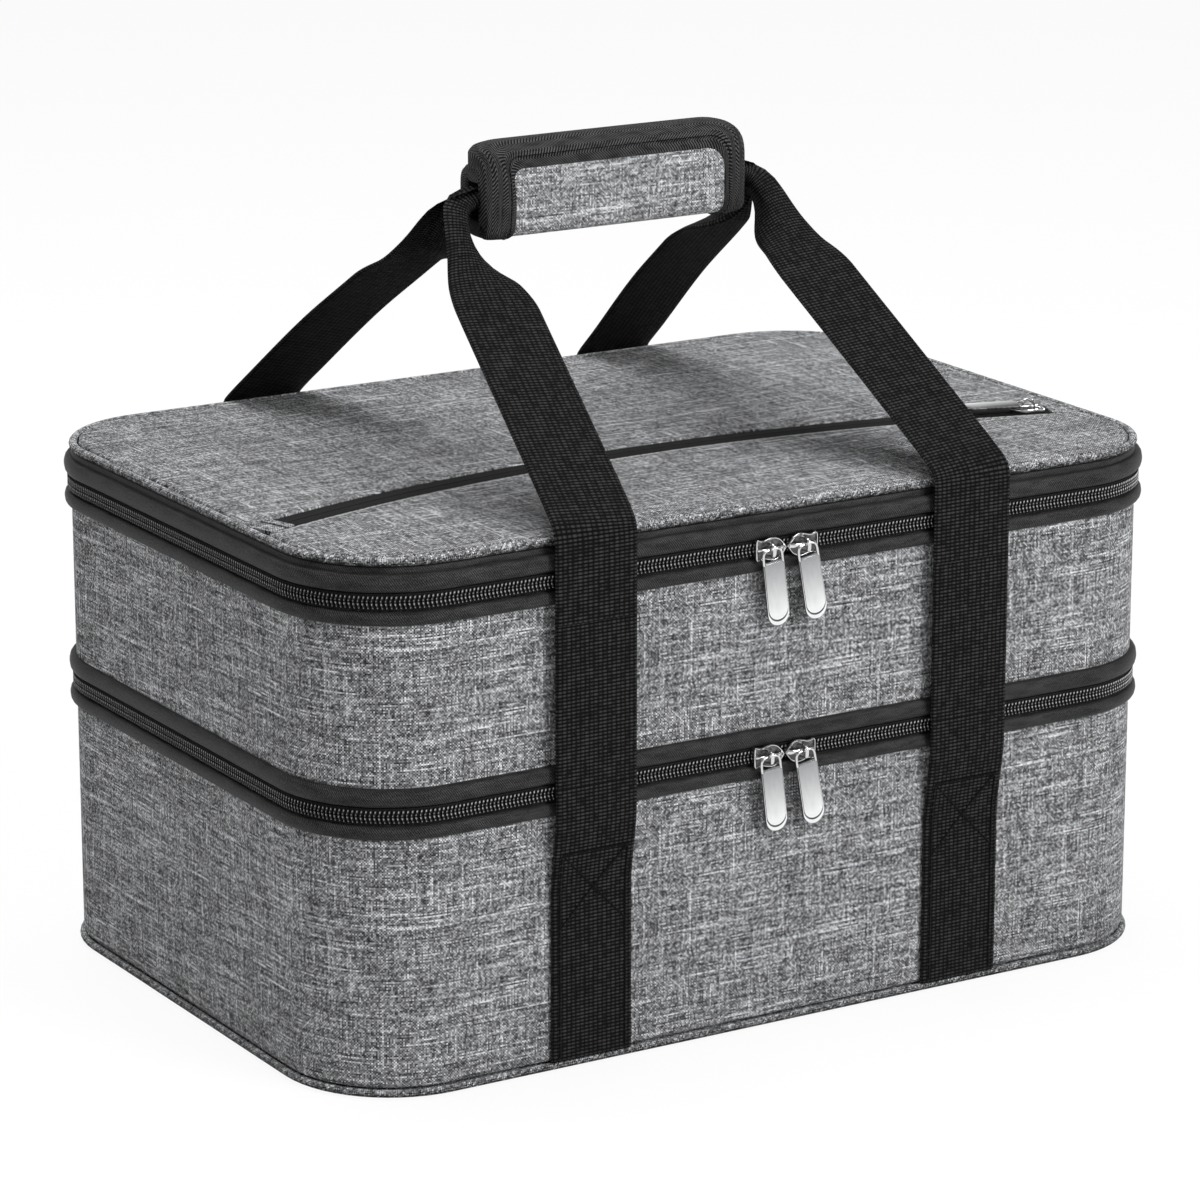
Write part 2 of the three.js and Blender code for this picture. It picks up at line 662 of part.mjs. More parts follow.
// Grip: the wrap behind, the flap in front, the flap's binding and the hook and loop tapes
function grip() {
  const group = new THREE.Group();
  const flapY = -flapFront + GRIP_PAD / 2;
  const backY = flapFront - GRIP_PAD / 2;
  const lipZ = flapTop - GRIP_PAD / 2;
  const bindOff = GRIP_PAD / 2 + SEAT_GAP + BINDING / 2;
  const bindRadius = GRIP_CORNER + bindOff;
  const innerLength = GRIP_LENGTH - 2 * BINDING;
  const flapPath = [
    [GRIP_SPLIT_Y - SEAT_GAP, padLow], [flapY, padLow], [flapY, lipZ], [FLAP_LIP_END, lipZ],
  ];
  const wrapPath = [[GRIP_SPLIT_Y, padLow], [backY, padLow], [backY, wrapZ], [WRAP_LIP_END, wrapZ]];
  const foldRadius = GRIP_SPLIT_Y - flapY - GRIP_PAD / 2;
  const flapSection = stripSection(roundedPath(flapPath, [foldRadius, GRIP_CORNER]), GRIP_PAD);
  const wrapSection = stripSection(roundedPath(wrapPath, [GRIP_CORNER, GRIP_CORNER]), GRIP_PAD);
  const bound = (drop) => stripSection(roundedPath([
    [flapY - bindOff, drop], [flapY - bindOff, lipZ + bindOff], [FLAP_LIP_END, lipZ + bindOff],
  ], [bindRadius]), BINDING);
  const endBand = barAlongX(bound(GRIP_BOTTOM + BINDING_START), BINDING_END_WIDTH);
  const topLength = GRIP_LENGTH - 2 * (BINDING_END_WIDTH - BINDING_LAP);
  const topBand = barAlongX(bound(gripTop - BINDING_SKIRT - bindRadius), topLength);
  const endX = (GRIP_LENGTH - BINDING_END_WIDTH) / 2;
  const binding = solidOf(topBand)
    .add(solidOf(endBand.clone().translate(-endX, 0, 0)))
    .add(solidOf(endBand.clone().translate(endX, 0, 0)));
  const tapeLength = GRIP_LENGTH - 2 * FASTENER_MARGIN;
  const flatTape = (top) => barAlongX([
    [FASTENER_FROM_Y, top - FASTENER_TAPE],
    [FASTENER_TO_Y, top - FASTENER_TAPE],
    [FASTENER_TO_Y, top],
    [FASTENER_FROM_Y, top],
  ], tapeLength);
  group.add(piece('grip_wrap', barAlongX(wrapSection, innerLength), greyCloth));
  group.add(piece('grip_flap', barAlongX(flapSection, innerLength), greyCloth));
  group.add(piece('grip_binding', geometryOf(binding), blackCloth));
  group.add(piece('grip_hook_tape', flatTape(hookTop), blackCloth));
  group.add(piece('grip_loop_tape', flatTape(loopTop), blackCloth));
  return group;
}

const carrier = new THREE.Group();
carrier.name = 'casserole_carrier';
carrier.add(lowerTub(), upperDeck(), lid(), pocketSlider());
carrier.add(sliderPair('middle_zip', midSplit), sliderPair('top_zip', topSplit));
carrier.add(handleSet('front', false), handleSet('back', true), grip());

export default carrier;
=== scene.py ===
# %% [markdown]
# # A two-deck casserole carrier, dressed in cloth
# The imported model gives the carrier's plain solids, their places and their joints. This lesson puts the
# looks on that frame: heather cloth over padded walls, zip bands, webbing handles and a wrapped grip. We
# load the frame first and read the sizes of the pieces from its solids. The dressed carrier has to stay
# about the same size.

# %% Load the frame
import math

import bmesh
import bpy
import numpy as np
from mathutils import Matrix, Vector


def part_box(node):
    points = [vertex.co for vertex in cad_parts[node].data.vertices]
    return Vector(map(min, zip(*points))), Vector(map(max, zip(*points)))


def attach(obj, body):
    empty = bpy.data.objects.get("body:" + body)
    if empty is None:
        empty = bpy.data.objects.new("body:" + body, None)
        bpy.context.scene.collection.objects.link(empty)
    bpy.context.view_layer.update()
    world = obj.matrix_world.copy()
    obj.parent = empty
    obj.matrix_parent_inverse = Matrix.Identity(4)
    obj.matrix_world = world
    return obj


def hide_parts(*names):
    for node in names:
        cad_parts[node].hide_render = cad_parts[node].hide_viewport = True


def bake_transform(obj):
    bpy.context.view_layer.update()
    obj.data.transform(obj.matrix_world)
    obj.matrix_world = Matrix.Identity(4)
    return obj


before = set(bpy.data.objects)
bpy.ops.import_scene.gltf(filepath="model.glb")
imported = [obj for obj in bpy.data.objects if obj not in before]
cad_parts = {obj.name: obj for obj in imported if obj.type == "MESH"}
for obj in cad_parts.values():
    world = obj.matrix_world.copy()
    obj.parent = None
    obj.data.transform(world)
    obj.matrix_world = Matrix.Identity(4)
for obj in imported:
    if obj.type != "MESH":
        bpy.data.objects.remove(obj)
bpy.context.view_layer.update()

# %% [markdown]
# ## Camera
# The photograph looks down a little from the front left through a long lens, so the sides hardly converge.
# Three angles could be worked out by hand, but a track rotation that turns the camera's -Z axis to a point
# is easier to read.

# %% Camera
scene = bpy.context.scene
scene.view_settings.view_transform = "Standard"


def facing(place, aim):
    """The rotation that turns a camera or a lamp at a place towards a point."""
    return (Vector(aim) - Vector(place)).to_track_quat("-Z", "Y").to_euler()


CAMERA_AT, CAMERA_AIM = (-1.0897, -1.7888, 0.7327), (-0.0020, 0.0, 0.1512)
camera = bpy.data.objects.new("camera", bpy.data.cameras.new("camera"))
scene.collection.objects.link(camera)
camera.location = CAMERA_AT
camera.rotation_euler = facing(CAMERA_AT, CAMERA_AIM)
camera.data.sensor_width = 36
camera.data.lens = 150.15
scene.camera = camera
print("camera at", CAMERA_AT, "lens", round(camera.data.lens, 2))

# %% [markdown]
# ## Floor
# The floor is a plain pale sheet. It could be lit until it is white, but that would bleach the cloth.
# Instead the camera sees most of the floor as a white glow, and the rest is ordinary lit floor that keeps
# the shadow. Mirrors see the glow too. The helper `wired` adds a node and fills its inputs, so that a node
# tree reads as a list of steps.

# %% A node helper
def wired(tree, kind, inputs=None, **settings):
    """Add a node to a tree. An input that is given a socket is linked to it, and any other value is set."""
    node = tree.nodes.new(kind)
    for key, value in settings.items():
        setattr(node, key, value)
    for key, value in (inputs or {}).items():
        if isinstance(value, bpy.types.NodeSocket):
            tree.links.new(value, node.inputs[key])
        else:
            node.inputs[key].default_value = value
    return node


def seen_share(tree):
    """1 for rays from the camera, a mirror or glass, and 0 for the light that falls on things."""
    rays = wired(tree, "ShaderNodeLightPath").outputs
    share = rays["Is Camera Ray"]
    for kind in ("Is Glossy Ray", "Is Transmission Ray"):
        share = wired(tree, "ShaderNodeMath", {0: share, 1: rays[kind]}, operation="MAXIMUM").outputs[0]
    return share


print("node helper ready")

# %% Floor
FLOOR_HALF, FLOOR_TONE, FLOOR_GLOW = 8, 0.95, 0.90


def floor_finish():
    material = bpy.data.materials.new("studio_floor")
    material.use_nodes = True
    tree = material.node_tree
    tree.nodes.clear()
    matt = wired(tree, "ShaderNodeBsdfDiffuse", {"Color": (FLOOR_TONE, FLOOR_TONE, FLOOR_TONE, 1)})
    glow = wired(tree, "ShaderNodeEmission")
    share = wired(tree, "ShaderNodeMath", {0: seen_share(tree), 1: FLOOR_GLOW}, operation="MULTIPLY")
    mix = wired(tree, "ShaderNodeMixShader", {0: share.outputs[0], 1: matt.outputs[0], 2: glow.outputs[0]})
    wired(tree, "ShaderNodeOutputMaterial", {0: mix.outputs[0]})
    return material


floor_mesh = bpy.data.meshes.new("floor")
floor_corners = [(x * FLOOR_HALF, y * FLOOR_HALF, 0) for x, y in [(-1, -1), (1, -1), (1, 1), (-1, 1)]]
floor_mesh.from_pydata(floor_corners, [], [(0, 1, 2, 3)])
floor_mesh.materials.append(floor_finish())
floor = bpy.data.objects.new("floor", floor_mesh)
scene.collection.objects.link(floor)
print("floor", 2 * FLOOR_HALF, "m wide")

# %% [markdown]
# ## Light
# Soft studio light could come from lamps alone, but the shadows would then be black. Here a dim white room
# gives the even part and three broad lamps the rest: a key from the front right, a weak fill from the left
# and one above. The camera sees the room as white, and a mirror that looks up sees a grey ceiling, which
# gives the steel its contrast.

# %% Room light
WHITE = (1, 1, 1, 1)
ROOM_LIGHT, CEILING_TONE, CEILING_FROM, CEILING_FULL = 0.33, 0.30, 0.05, 0.45
scene.world = bpy.data.worlds.new("studio")
scene.world.use_nodes = True
sky = scene.world.node_tree
room = sky.nodes["Background"]
room.inputs[0].default_value = WHITE
room.inputs[1].default_value = ROOM_LIGHT
backdrop = wired(sky, "ShaderNodeBackground", {0: WHITE})
ceiling = wired(sky, "ShaderNodeBackground", {0: WHITE, 1: CEILING_TONE})
studio = wired(sky, "ShaderNodeMixShader", {0: seen_share(sky), 1: room.outputs[0], 2: backdrop.outputs[0]})
upward = wired(sky, "ShaderNodeSeparateXYZ", {0: wired(sky, "ShaderNodeTexCoord").outputs["Generated"]})
rise_range = {"Value": upward.outputs[2], "From Min": CEILING_FROM, "From Max": CEILING_FULL}
rise = wired(sky, "ShaderNodeMapRange", rise_range, interpolation_type="SMOOTHSTEP")
mirrors = wired(sky, "ShaderNodeLightPath").outputs["Is Glossy Ray"]
overhead = wired(sky, "ShaderNodeMath", {0: rise.outputs[0], 1: mirrors}, operation="MULTIPLY")
whole = wired(sky, "ShaderNodeMixShader", {0: overhead.outputs[0], 1: studio.outputs[0], 2: ceiling.outputs[0]})
sky.links.new(whole.outputs[0], sky.nodes["World Output"].inputs[0])
print("room light", ROOM_LIGHT, "with a ceiling of", CEILING_TONE)

# %% Lamps
LAMP_AIM = (0, 0, 0.13)


def soft_lamp(name, place, size, power):
    data = bpy.data.lights.new(name, "AREA")
    data.size, data.energy = size, power
    lamp = bpy.data.objects.new(name, data)
    lamp.location = place
    lamp.rotation_euler = facing(place, LAMP_AIM)
    scene.collection.objects.link(lamp)
    print(name, size, "m wide,", power, "W")


soft_lamp("key_front_right", (1.0, -2.3, 1.5), size=1.2, power=62)
soft_lamp("fill_left", (-2.4, -0.5, 1.0), size=1.2, power=2.5)
soft_lamp("top_soft", (-0.2, 0.5, 2.3), size=1.8, power=46)

# %% [markdown]
# ## Finishes
# A finish is a small tree of shader nodes. Every piece carries a UV layer named cloth that is measured in
# millimetres, so a yarn, a rib or a tooth has its real size everywhere. A helper class keeps the trees
# short: `calc` adds one sum, `noise` one noise, `per_cell` one random tone for each cell of a grid, `ramp`
# turns a value into a colour and `bump` makes relief.

# %% The finish helper
MM = 0.001


class Finish:
    slots = {}

    def __init__(self, name, slot, **values):
        self.material = bpy.data.materials.new(name)
        self.material.use_nodes = True
        self.tree = self.material.node_tree
        self.shader = self.tree.nodes["Principled BSDF"]
        Finish.slots[name] = slot
        for key, value in values.items():
            self.shader.inputs[key.replace("_", " ")].default_value = value

    def add(self, kind, inputs=None, **settings):
        return wired(self.tree, kind, inputs, **settings)

    def calc(self, operation, a, b=0.0, c=0.0):
        return self.add("ShaderNodeMath", {0: a, 1: b, 2: c}, operation=operation).outputs[0]

    def scaled(self, value, factor, shift=0.0):
        return self.calc("MULTIPLY_ADD", value, factor, shift)

    def counted(self, value, pitch):
        return self.calc("FLOOR", self.scaled(value, 1 / pitch))

    def blend(self, share, a, b):
        return self.calc("MULTIPLY_ADD", share, self.calc("SUBTRACT", b, a), a)

    def wave(self, value, pitch):
        turn = self.calc("FRACT", self.scaled(value, 1 / pitch))
        return self.calc("SINE", self.scaled(turn, math.pi))

    def cloth(self):
        layer = self.add("ShaderNodeUVMap", uv_map="cloth")
        parts = self.add("ShaderNodeSeparateXYZ", {0: layer.outputs[0]})
        return parts.outputs[0], parts.outputs[1]

    def noise(self, x, y, detail=2.0, roughness=0.5):
        place = self.add("ShaderNodeCombineXYZ", {0: x, 1: y}).outputs[0]
        values = {"Vector": place, "Scale": 1.0, "Detail": detail, "Roughness": roughness}
        return self.add("ShaderNodeTexNoise", values, noise_dimensions="2D").outputs[0]

    def per_cell(self, column, row):
        cell = self.add("ShaderNodeCombineXYZ", {0: column, 1: row}).outputs[0]
        return self.add("ShaderNodeTexWhiteNoise", {"Vector": cell}, noise_dimensions="2D").outputs["Value"]

    def ramp(self, value, stops):
        node = self.add("ShaderNodeValToRGB", {0: value})
        while len(node.color_ramp.elements) < len(stops):
            node.color_ramp.elements.new(0.5)
        for element, (place, tone) in zip(node.color_ramp.elements, stops):
            element.position = place
            element.color = (*tone, 1) if isinstance(tone, tuple) else (tone, tone, tone, 1)
        return node.outputs[0]

    def feed(self, socket, value):
        self.tree.links.new(value, self.shader.inputs[socket])

    def bump(self, height, depth):
        node = self.add("ShaderNodeBump", {"Strength": 1.0, "Distance": depth * MM, "Height": height})
        self.feed("Normal", node.outputs[0])


print("finish helper ready")

# %% [markdown]
# ### Heather cloth
# Heather cloth is a plain weave of yarns spun from light and dark fibre, here with a weft a little lighter
# than the warp. Close up it is mostly flecks: at every crossing one yarn lies on top and shows its own
# tone. A noise picture of the whole cloth would look like stone. Instead a random tone is read per
# crossing, which gives the flecks, and a slow noise is read per yarn: the yarn's number picks the strip and
# the length along it moves slowly, which draws thin streaks. A few yarns, the slubs, are much lighter for
# some centimetres. The welts are cut from the same cloth on the slant, and their colour has painted light
# and shade: lighter on top of the cord and darker underneath.

# %% Heather cloth
YARN = 0.64
SLANT = math.sqrt(0.5)
# Steps in the noise from one yarn to the next, large enough that neighbours are not alike.
YARN_APART, SLUB_APART = 7.37, 5.91
# Steps in the noise for each millimetre along a yarn: the smaller, the longer the streaks.
WARP_STREAK, WEFT_STREAK, WARP_SLUB, WEFT_SLUB = 0.045, 0.055, 0.032, 0.026
HEATHER_TONES = [(0.08, 0.008), (0.30, 0.052), (0.50, 0.166), (0.70, 0.360), (0.95, 0.78)]


def heather(name, shade, welt_radius=None):
    f = Finish(name, "grey_cloth", Roughness=0.93, Specular_IOR_Level=0.08)
    u, v = f.cloth()
    if welt_radius:
        # painted light and shade: round the welt's cord the cloth is lighter on top and darker underneath
        shade = f.scaled(f.calc("SINE", f.scaled(v, 1 / welt_radius)), 0.20, shade)
        u, v = f.scaled(f.calc("ADD", u, v), SLANT), f.scaled(f.calc("SUBTRACT", v, u), SLANT)
    warp, weft = f.counted(u, YARN), f.counted(v, YARN)
    fleck = f.per_cell(warp, weft)
    over = f.calc("FLOORED_MODULO", f.calc("ADD", warp, weft), 2)
    along_warp = f.noise(f.scaled(warp, YARN_APART), f.scaled(v, WARP_STREAK), 1, 0.6)
    along_weft = f.noise(f.scaled(u, WEFT_STREAK), f.scaled(weft, YARN_APART, 40), 1, 0.6)
    slub_weft = f.noise(f.scaled(u, WEFT_SLUB), f.scaled(weft, SLUB_APART, 7), 0)
    slub_warp = f.noise(f.scaled(warp, SLUB_APART, 90), f.scaled(v, WARP_SLUB), 0)
    slub = f.calc("MAXIMUM", f.scaled(slub_weft, 9.0, -6.0), f.scaled(slub_warp, 9.0, -6.5))
    slub = f.calc("MINIMUM", f.calc("MAXIMUM", slub, 0.0), 1.0)
    drift = f.noise(f.scaled(u, 0.02), f.scaled(v, 0.02), 2)
    tone = f.calc("ADD", f.scaled(fleck, 0.47, -0.312), shade)
    for part, weight in [(over, 0.22), (along_weft, 0.52), (along_warp, 0.34), (slub, 0.18), (drift, 0.03)]:
        tone = f.calc("MULTIPLY_ADD", part, weight, tone)
    f.feed("Base Color", f.ramp(tone, [(place, (c * 0.985, c, c * 1.025)) for place, c in HEATHER_TONES]))
    relief = f.blend(over, f.wave(u, YARN), f.wave(v, YARN))
    f.bump(f.calc("ADD", relief, f.scaled(along_weft, 0.8)), 0.10)
    return f.material


grey_cloth = heather("heather_cloth", shade=0.0)
grip_cloth = heather("heather_grip", shade=0.08)
print("heather yarn", YARN, "mm")

# %% [markdown]
# ### Binding and webbing
# All the black cloths are nearly the same colour, so relief and gloss tell them apart far more than tone
# does. The rolls beside the zips are a close smooth binding, a fine twill with a soft sheen. The straps are
# webbing with ribs across and columns along. A picture of one rib could be repeated, but it would look
# printed, so every knot of the webbing gets a tone of its own and a slow noise wears the whole strap.

# %% Binding and webbing
TWILL = 1.0
RIB, COLUMN = 1.53, 2.1


def binding_cloth():
    f = Finish("binding_cloth", "black_cloth", Roughness=0.52, Specular_IOR_Level=0.10)
    u, v = f.cloth()
    twill = f.wave(f.calc("ADD", u, f.scaled(v, 0.7)), TWILL)
    fleck = f.noise(f.scaled(u, 1.6), f.scaled(v, 1.6), 2, 0.7)
    wear = f.noise(f.scaled(u, 0.08), f.scaled(v, 0.35), 3)
    # painted highlight and shade: the twill's ridges are lighter and its grooves darker
    grain = f.calc("ADD", f.scaled(twill, 0.34), f.calc("MULTIPLY_ADD", fleck, 0.55, f.scaled(wear, 0.3)))
    f.feed("Base Color", f.ramp(grain, [(0.40, 0.0015), (0.62, 0.010), (0.90, 0.075)]))
    f.feed("Roughness", f.scaled(wear, 0.30, 0.34))
    f.bump(f.calc("ADD", twill, f.scaled(wear, 2.0)), 0.07)
    return f.material


def webbing():
    f = Finish("strap_webbing", "black_webbing", Roughness=0.7, Specular_IOR_Level=0.05)
    u, v = f.cloth()
    knot = f.calc("MULTIPLY", f.wave(u, RIB), f.scaled(f.wave(v, COLUMN), 0.52, 0.48))
    own = f.per_cell(f.counted(u, RIB), f.counted(v, COLUMN))
    worn = f.noise(f.scaled(u, 0.12), f.scaled(v, 0.5), 3, 0.7)
    # painted highlight and shade: the tops of the knots are lighter and the gaps between them darker
    tone = f.calc("MULTIPLY", knot, f.calc("MULTIPLY", f.scaled(worn, 1.3, 0.35), f.scaled(own, 0.36, 0.84)))
    f.feed("Base Color", f.ramp(tone, [(0.20, 0.0012), (0.55, 0.0050), (1.0, 0.034)]))
    f.feed("Roughness", f.scaled(worn, 0.25, 0.52))
    f.bump(knot, 0.34)
    return f.material


roll_cloth = binding_cloth()
strap_cloth = webbing()
print("binding twill", TWILL, "mm, webbing ribs", RIB, "mm and columns", COLUMN, "mm")

# %% [markdown]
# ### Herringbone and plain tapes
# The grip's edge is a herringbone tape, a twill whose slant turns back every few millimetres. A ping-pong
# of the length across turns it back without a seam. The hinges and the fastener tapes are a plain weave.
# The hooks are the same with a coarser pitch and more relief.

# %% Herringbone and plain tapes
HERRING_TURN, HERRING_CORD = 4.2, 1.5


def herringbone():
    f = Finish("grip_herringbone", "black_cloth", Roughness=0.7, Specular_IOR_Level=0.06)
    u, v = f.cloth()
    cord = f.wave(f.calc("ADD", u, f.calc("PINGPONG", v, HERRING_TURN)), HERRING_CORD)
    worn = f.noise(f.scaled(u, 0.12), f.scaled(v, 0.5), 3)
    # painted highlight and shade: the cords' crests are lighter and the grooves between them darker
    tone = f.calc("MULTIPLY", cord, f.scaled(worn, 0.9, 0.55))
    f.feed("Base Color", f.ramp(tone, [(0.25, 0.002), (0.62, 0.012), (1.0, 0.075)]))
    f.feed("Roughness", f.scaled(worn, 0.3, 0.5))
    f.bump(cord, 0.22)
    return f.material


def plain_black(name, pitch, depth):
    f = Finish(name, "black_cloth", Roughness=0.85, Specular_IOR_Level=0.12)
    u, v = f.cloth()
    grid = f.calc("MULTIPLY", f.wave(u, pitch), f.wave(v, pitch))
    fuzz = f.noise(f.scaled(u, 1.3), f.scaled(v, 1.3), 3)
    f.feed("Base Color", f.ramp(f.calc("MULTIPLY", grid, fuzz), [(0.05, 0.004), (0.5, 0.02)]))
    f.bump(f.calc("ADD", grid, fuzz), depth)
    return f.material


edge_cloth = herringbone()
tape_cloth = plain_black("tape_cloth", pitch=0.8, depth=0.12)
hook_cloth = plain_black("hook_cloth", pitch=1.6, depth=0.5)
print("herringbone turns every", HERRING_TURN, "mm")

# %% [markdown]
# ### Coil
# The zip's coil is a hard nylon. Each turn has a clear glint on its crest. It could be left to the lamps, but
# a real glint that small would be lost in the render's grain, so it is painted by the distance from two
# spots on the tooth.

# %% Coil
TOOTH_RADIUS, TOOTH_LENGTH = 0.5, 3.0


def coil_nylon():
    f = Finish("coil_nylon", "black_coil", Roughness=0.3, Specular_IOR_Level=0.25)
    u, v = f.cloth()
    grain = f.noise(f.scaled(u, 0.6), f.scaled(v, 0.9), 2)
    off_crest = f.calc("ABSOLUTE", f.calc("SUBTRACT", v, TOOTH_RADIUS * 1.5))
    near_top = f.calc("ABSOLUTE", f.calc("SUBTRACT", u, TOOTH_LENGTH * 0.76))
    near_foot = f.calc("ADD", f.calc("ABSOLUTE", f.calc("SUBTRACT", u, TOOTH_LENGTH * 0.24)), 0.22)
    off_glint = f.calc("MULTIPLY_ADD", f.calc("MINIMUM", near_top, near_foot), 0.55, off_crest)
    tone = f.calc("MULTIPLY_ADD", grain, 0.10, off_glint)
    f.feed("Base Color", f.ramp(tone, [(0.14, 0.52), (0.36, 0.12), (0.60, 0.003)]))
    f.feed("Roughness", f.scaled(grain, 0.2, 0.16))
    f.bump(grain, 0.03)
    return f.material


coil = coil_nylon()
print("tooth", 2 * TOOTH_RADIUS, "x", TOOTH_LENGTH, "mm")

# %% [markdown]
# ### Steel
# The sliders are polished steel. A perfect mirror would look like a drawing, so faint hairlines and smudges
# break the reflections. The pulls have a painted reflection, brighter towards their free end, and the
# hollows and steps a painted shade, a dark steel.

# %% Steel
PULL_LENGTH = 32.3


def polished_steel():
    f = Finish("polished_steel", "bright_steel", Metallic=1.0, Roughness=0.14)
    u, v = f.cloth()
    hair = f.noise(f.scaled(u, 0.25), f.scaled(v, 9.0), 2)
    smudge = f.noise(f.scaled(u, 0.16), f.scaled(v, 0.16), 3)
    f.feed("Base Color", f.ramp(smudge, [(0.2, (0.60, 0.605, 0.61)), (0.8, (0.76, 0.765, 0.77))]))
    f.feed("Roughness", f.scaled(smudge, 0.14, 0.08))
    f.bump(hair, 0.004)
    return f.material


def tab_steel():
    f = Finish("tab_steel", "bright_steel", Metallic=1.0, Roughness=0.2)
    u, v = f.cloth()
    smudge = f.noise(f.scaled(u, 0.3), f.scaled(v, 0.1), 3)
    # painted reflection: grey by the loop, near white at the free end; smudges vary it
    painted_reflection_and_smudge = f.calc("ADD", f.scaled(v, -1 / PULL_LENGTH), f.scaled(smudge, 0.16, -0.08))
    painted_reflection_tones = [(0.20, (0.36, 0.365, 0.37)), (0.55, (0.62, 0.625, 0.63)), (0.85, (0.88, 0.885, 0.89))]
    f.feed("Base Color", f.ramp(painted_reflection_and_smudge, painted_reflection_tones))
    f.feed("Roughness", f.scaled(smudge, 0.12, 0.12))
    f.bump(f.noise(f.scaled(u, 7.0), f.scaled(v, 0.2), 2), 0.004)
    return f.material


# painted shade: a dark steel for the hollows and for the sides and steps of the pulls
def painted_shade_steel():
    f = Finish("painted_shade_steel", "bright_steel", Metallic=1.0, Roughness=0.35)
    u, v = f.cloth()
    grain = f.noise(f.scaled(u, 0.5), f.scaled(v, 0.5), 3)
    f.feed("Base Color", f.ramp(grain, [(0.3, 0.05), (0.7, 0.16)]))
    f.feed("Roughness", f.scaled(grain, 0.2, 0.25))
    return f.material


steel = polished_steel()
pull_steel = tab_steel()
shade_steel = painted_shade_steel()
print("pull", PULL_LENGTH, "mm long")

# %% [markdown]
# ### Lining and foam
# The lining is silver film that creases. Real folds could be modelled, but they are shallow, so the relief is
# a coarse noise folded about its middle, which leaves sharp lines. The foam is only seen close up, and still
# gets its pores.

# %% Lining and foam
def silver_lining():
    f = Finish("silver_lining", "foil_lining", Metallic=0.75, Roughness=0.34)
    u, v = f.cloth()
    fold = f.noise(f.scaled(u, 0.035), f.scaled(v, 0.035), 4, 0.6)
    crease = f.calc("ABSOLUTE", f.scaled(fold, 2.0, -1.0))
    fine = f.noise(f.scaled(u, 0.7), f.scaled(v, 0.7), 2)
    f.feed("Base Color", f.ramp(fine, [(0.3, (0.54, 0.55, 0.56)), (0.7, (0.68, 0.69, 0.70))]))
    f.feed("Roughness", f.scaled(fine, 0.2, 0.24))
    f.bump(f.calc("ADD", crease, f.scaled(fine, 0.05)), 1.6)
    return f.material


def open_foam():
    f = Finish("open_foam", "pale_foam", Roughness=1.0)
    u, v = f.cloth()
    pore = f.noise(f.scaled(u, 1.2), f.scaled(v, 1.2), 3)
    f.feed("Base Color", f.ramp(pore, [(0.3, (0.52, 0.52, 0.48)), (0.7, (0.70, 0.70, 0.66))]))
    f.bump(pore, 0.3)
    return f.material


lining = silver_lining()
foam = open_foam()
print("lining and foam:", lining.name, foam.name)

# %% [markdown]
# ### Board and thread
# The fibre board in the base is a solid of the frame without our UV layer, so its fibre is read from the
# object's own coordinates. Sewing thread is two plies twisted together, a slanted wave along each stitch.

# %% Board and thread
def pressed_board():
    f = Finish("pressed_board", "fibre_board", Roughness=0.85)
    place = f.add("ShaderNodeTexCoord").outputs["Object"]
    parts = f.add("ShaderNodeSeparateXYZ", {0: place})
    fibre = f.noise(f.scaled(parts.outputs[0], 900), f.scaled(parts.outputs[1], 240), 4)
    f.feed("Base Color", f.ramp(fibre, [(0.3, (0.16, 0.12, 0.075)), (0.7, (0.32, 0.25, 0.17))]))
    f.bump(fibre, 0.2)
    return f.material


def sewing_thread(name, slot, dark, pale):
    f = Finish(name, slot, Roughness=0.8, Specular_IOR_Level=0.1)
    u, v = f.cloth()
    twist = f.wave(f.calc("ADD", u, v), 0.5)
    f.feed("Base Color", f.ramp(twist, [(0.2, dark), (0.9, pale)]))
    f.bump(twist, 0.08)
    return f.material


board = pressed_board()
black_thread = sewing_thread("black_thread", "black_webbing", dark=0.001, pale=0.005)
grey_thread = sewing_thread("grey_thread", "grey_cloth", dark=0.22, pale=0.50)
print("finishes:", len(Finish.slots))

# %% [markdown]
# ## From rows of points to pieces
# Almost everything here is a strip of cloth or a cord that follows a path, so one tool does most of the
# work. `Skin` takes a grid of points, row after row along the path, and joins them into faces. The UVs are
# the lengths along and around the grid. `beads` repeats one small shape many times, for teeth and stitches.
# All of this is in millimetres, and becomes metres when a piece is made.

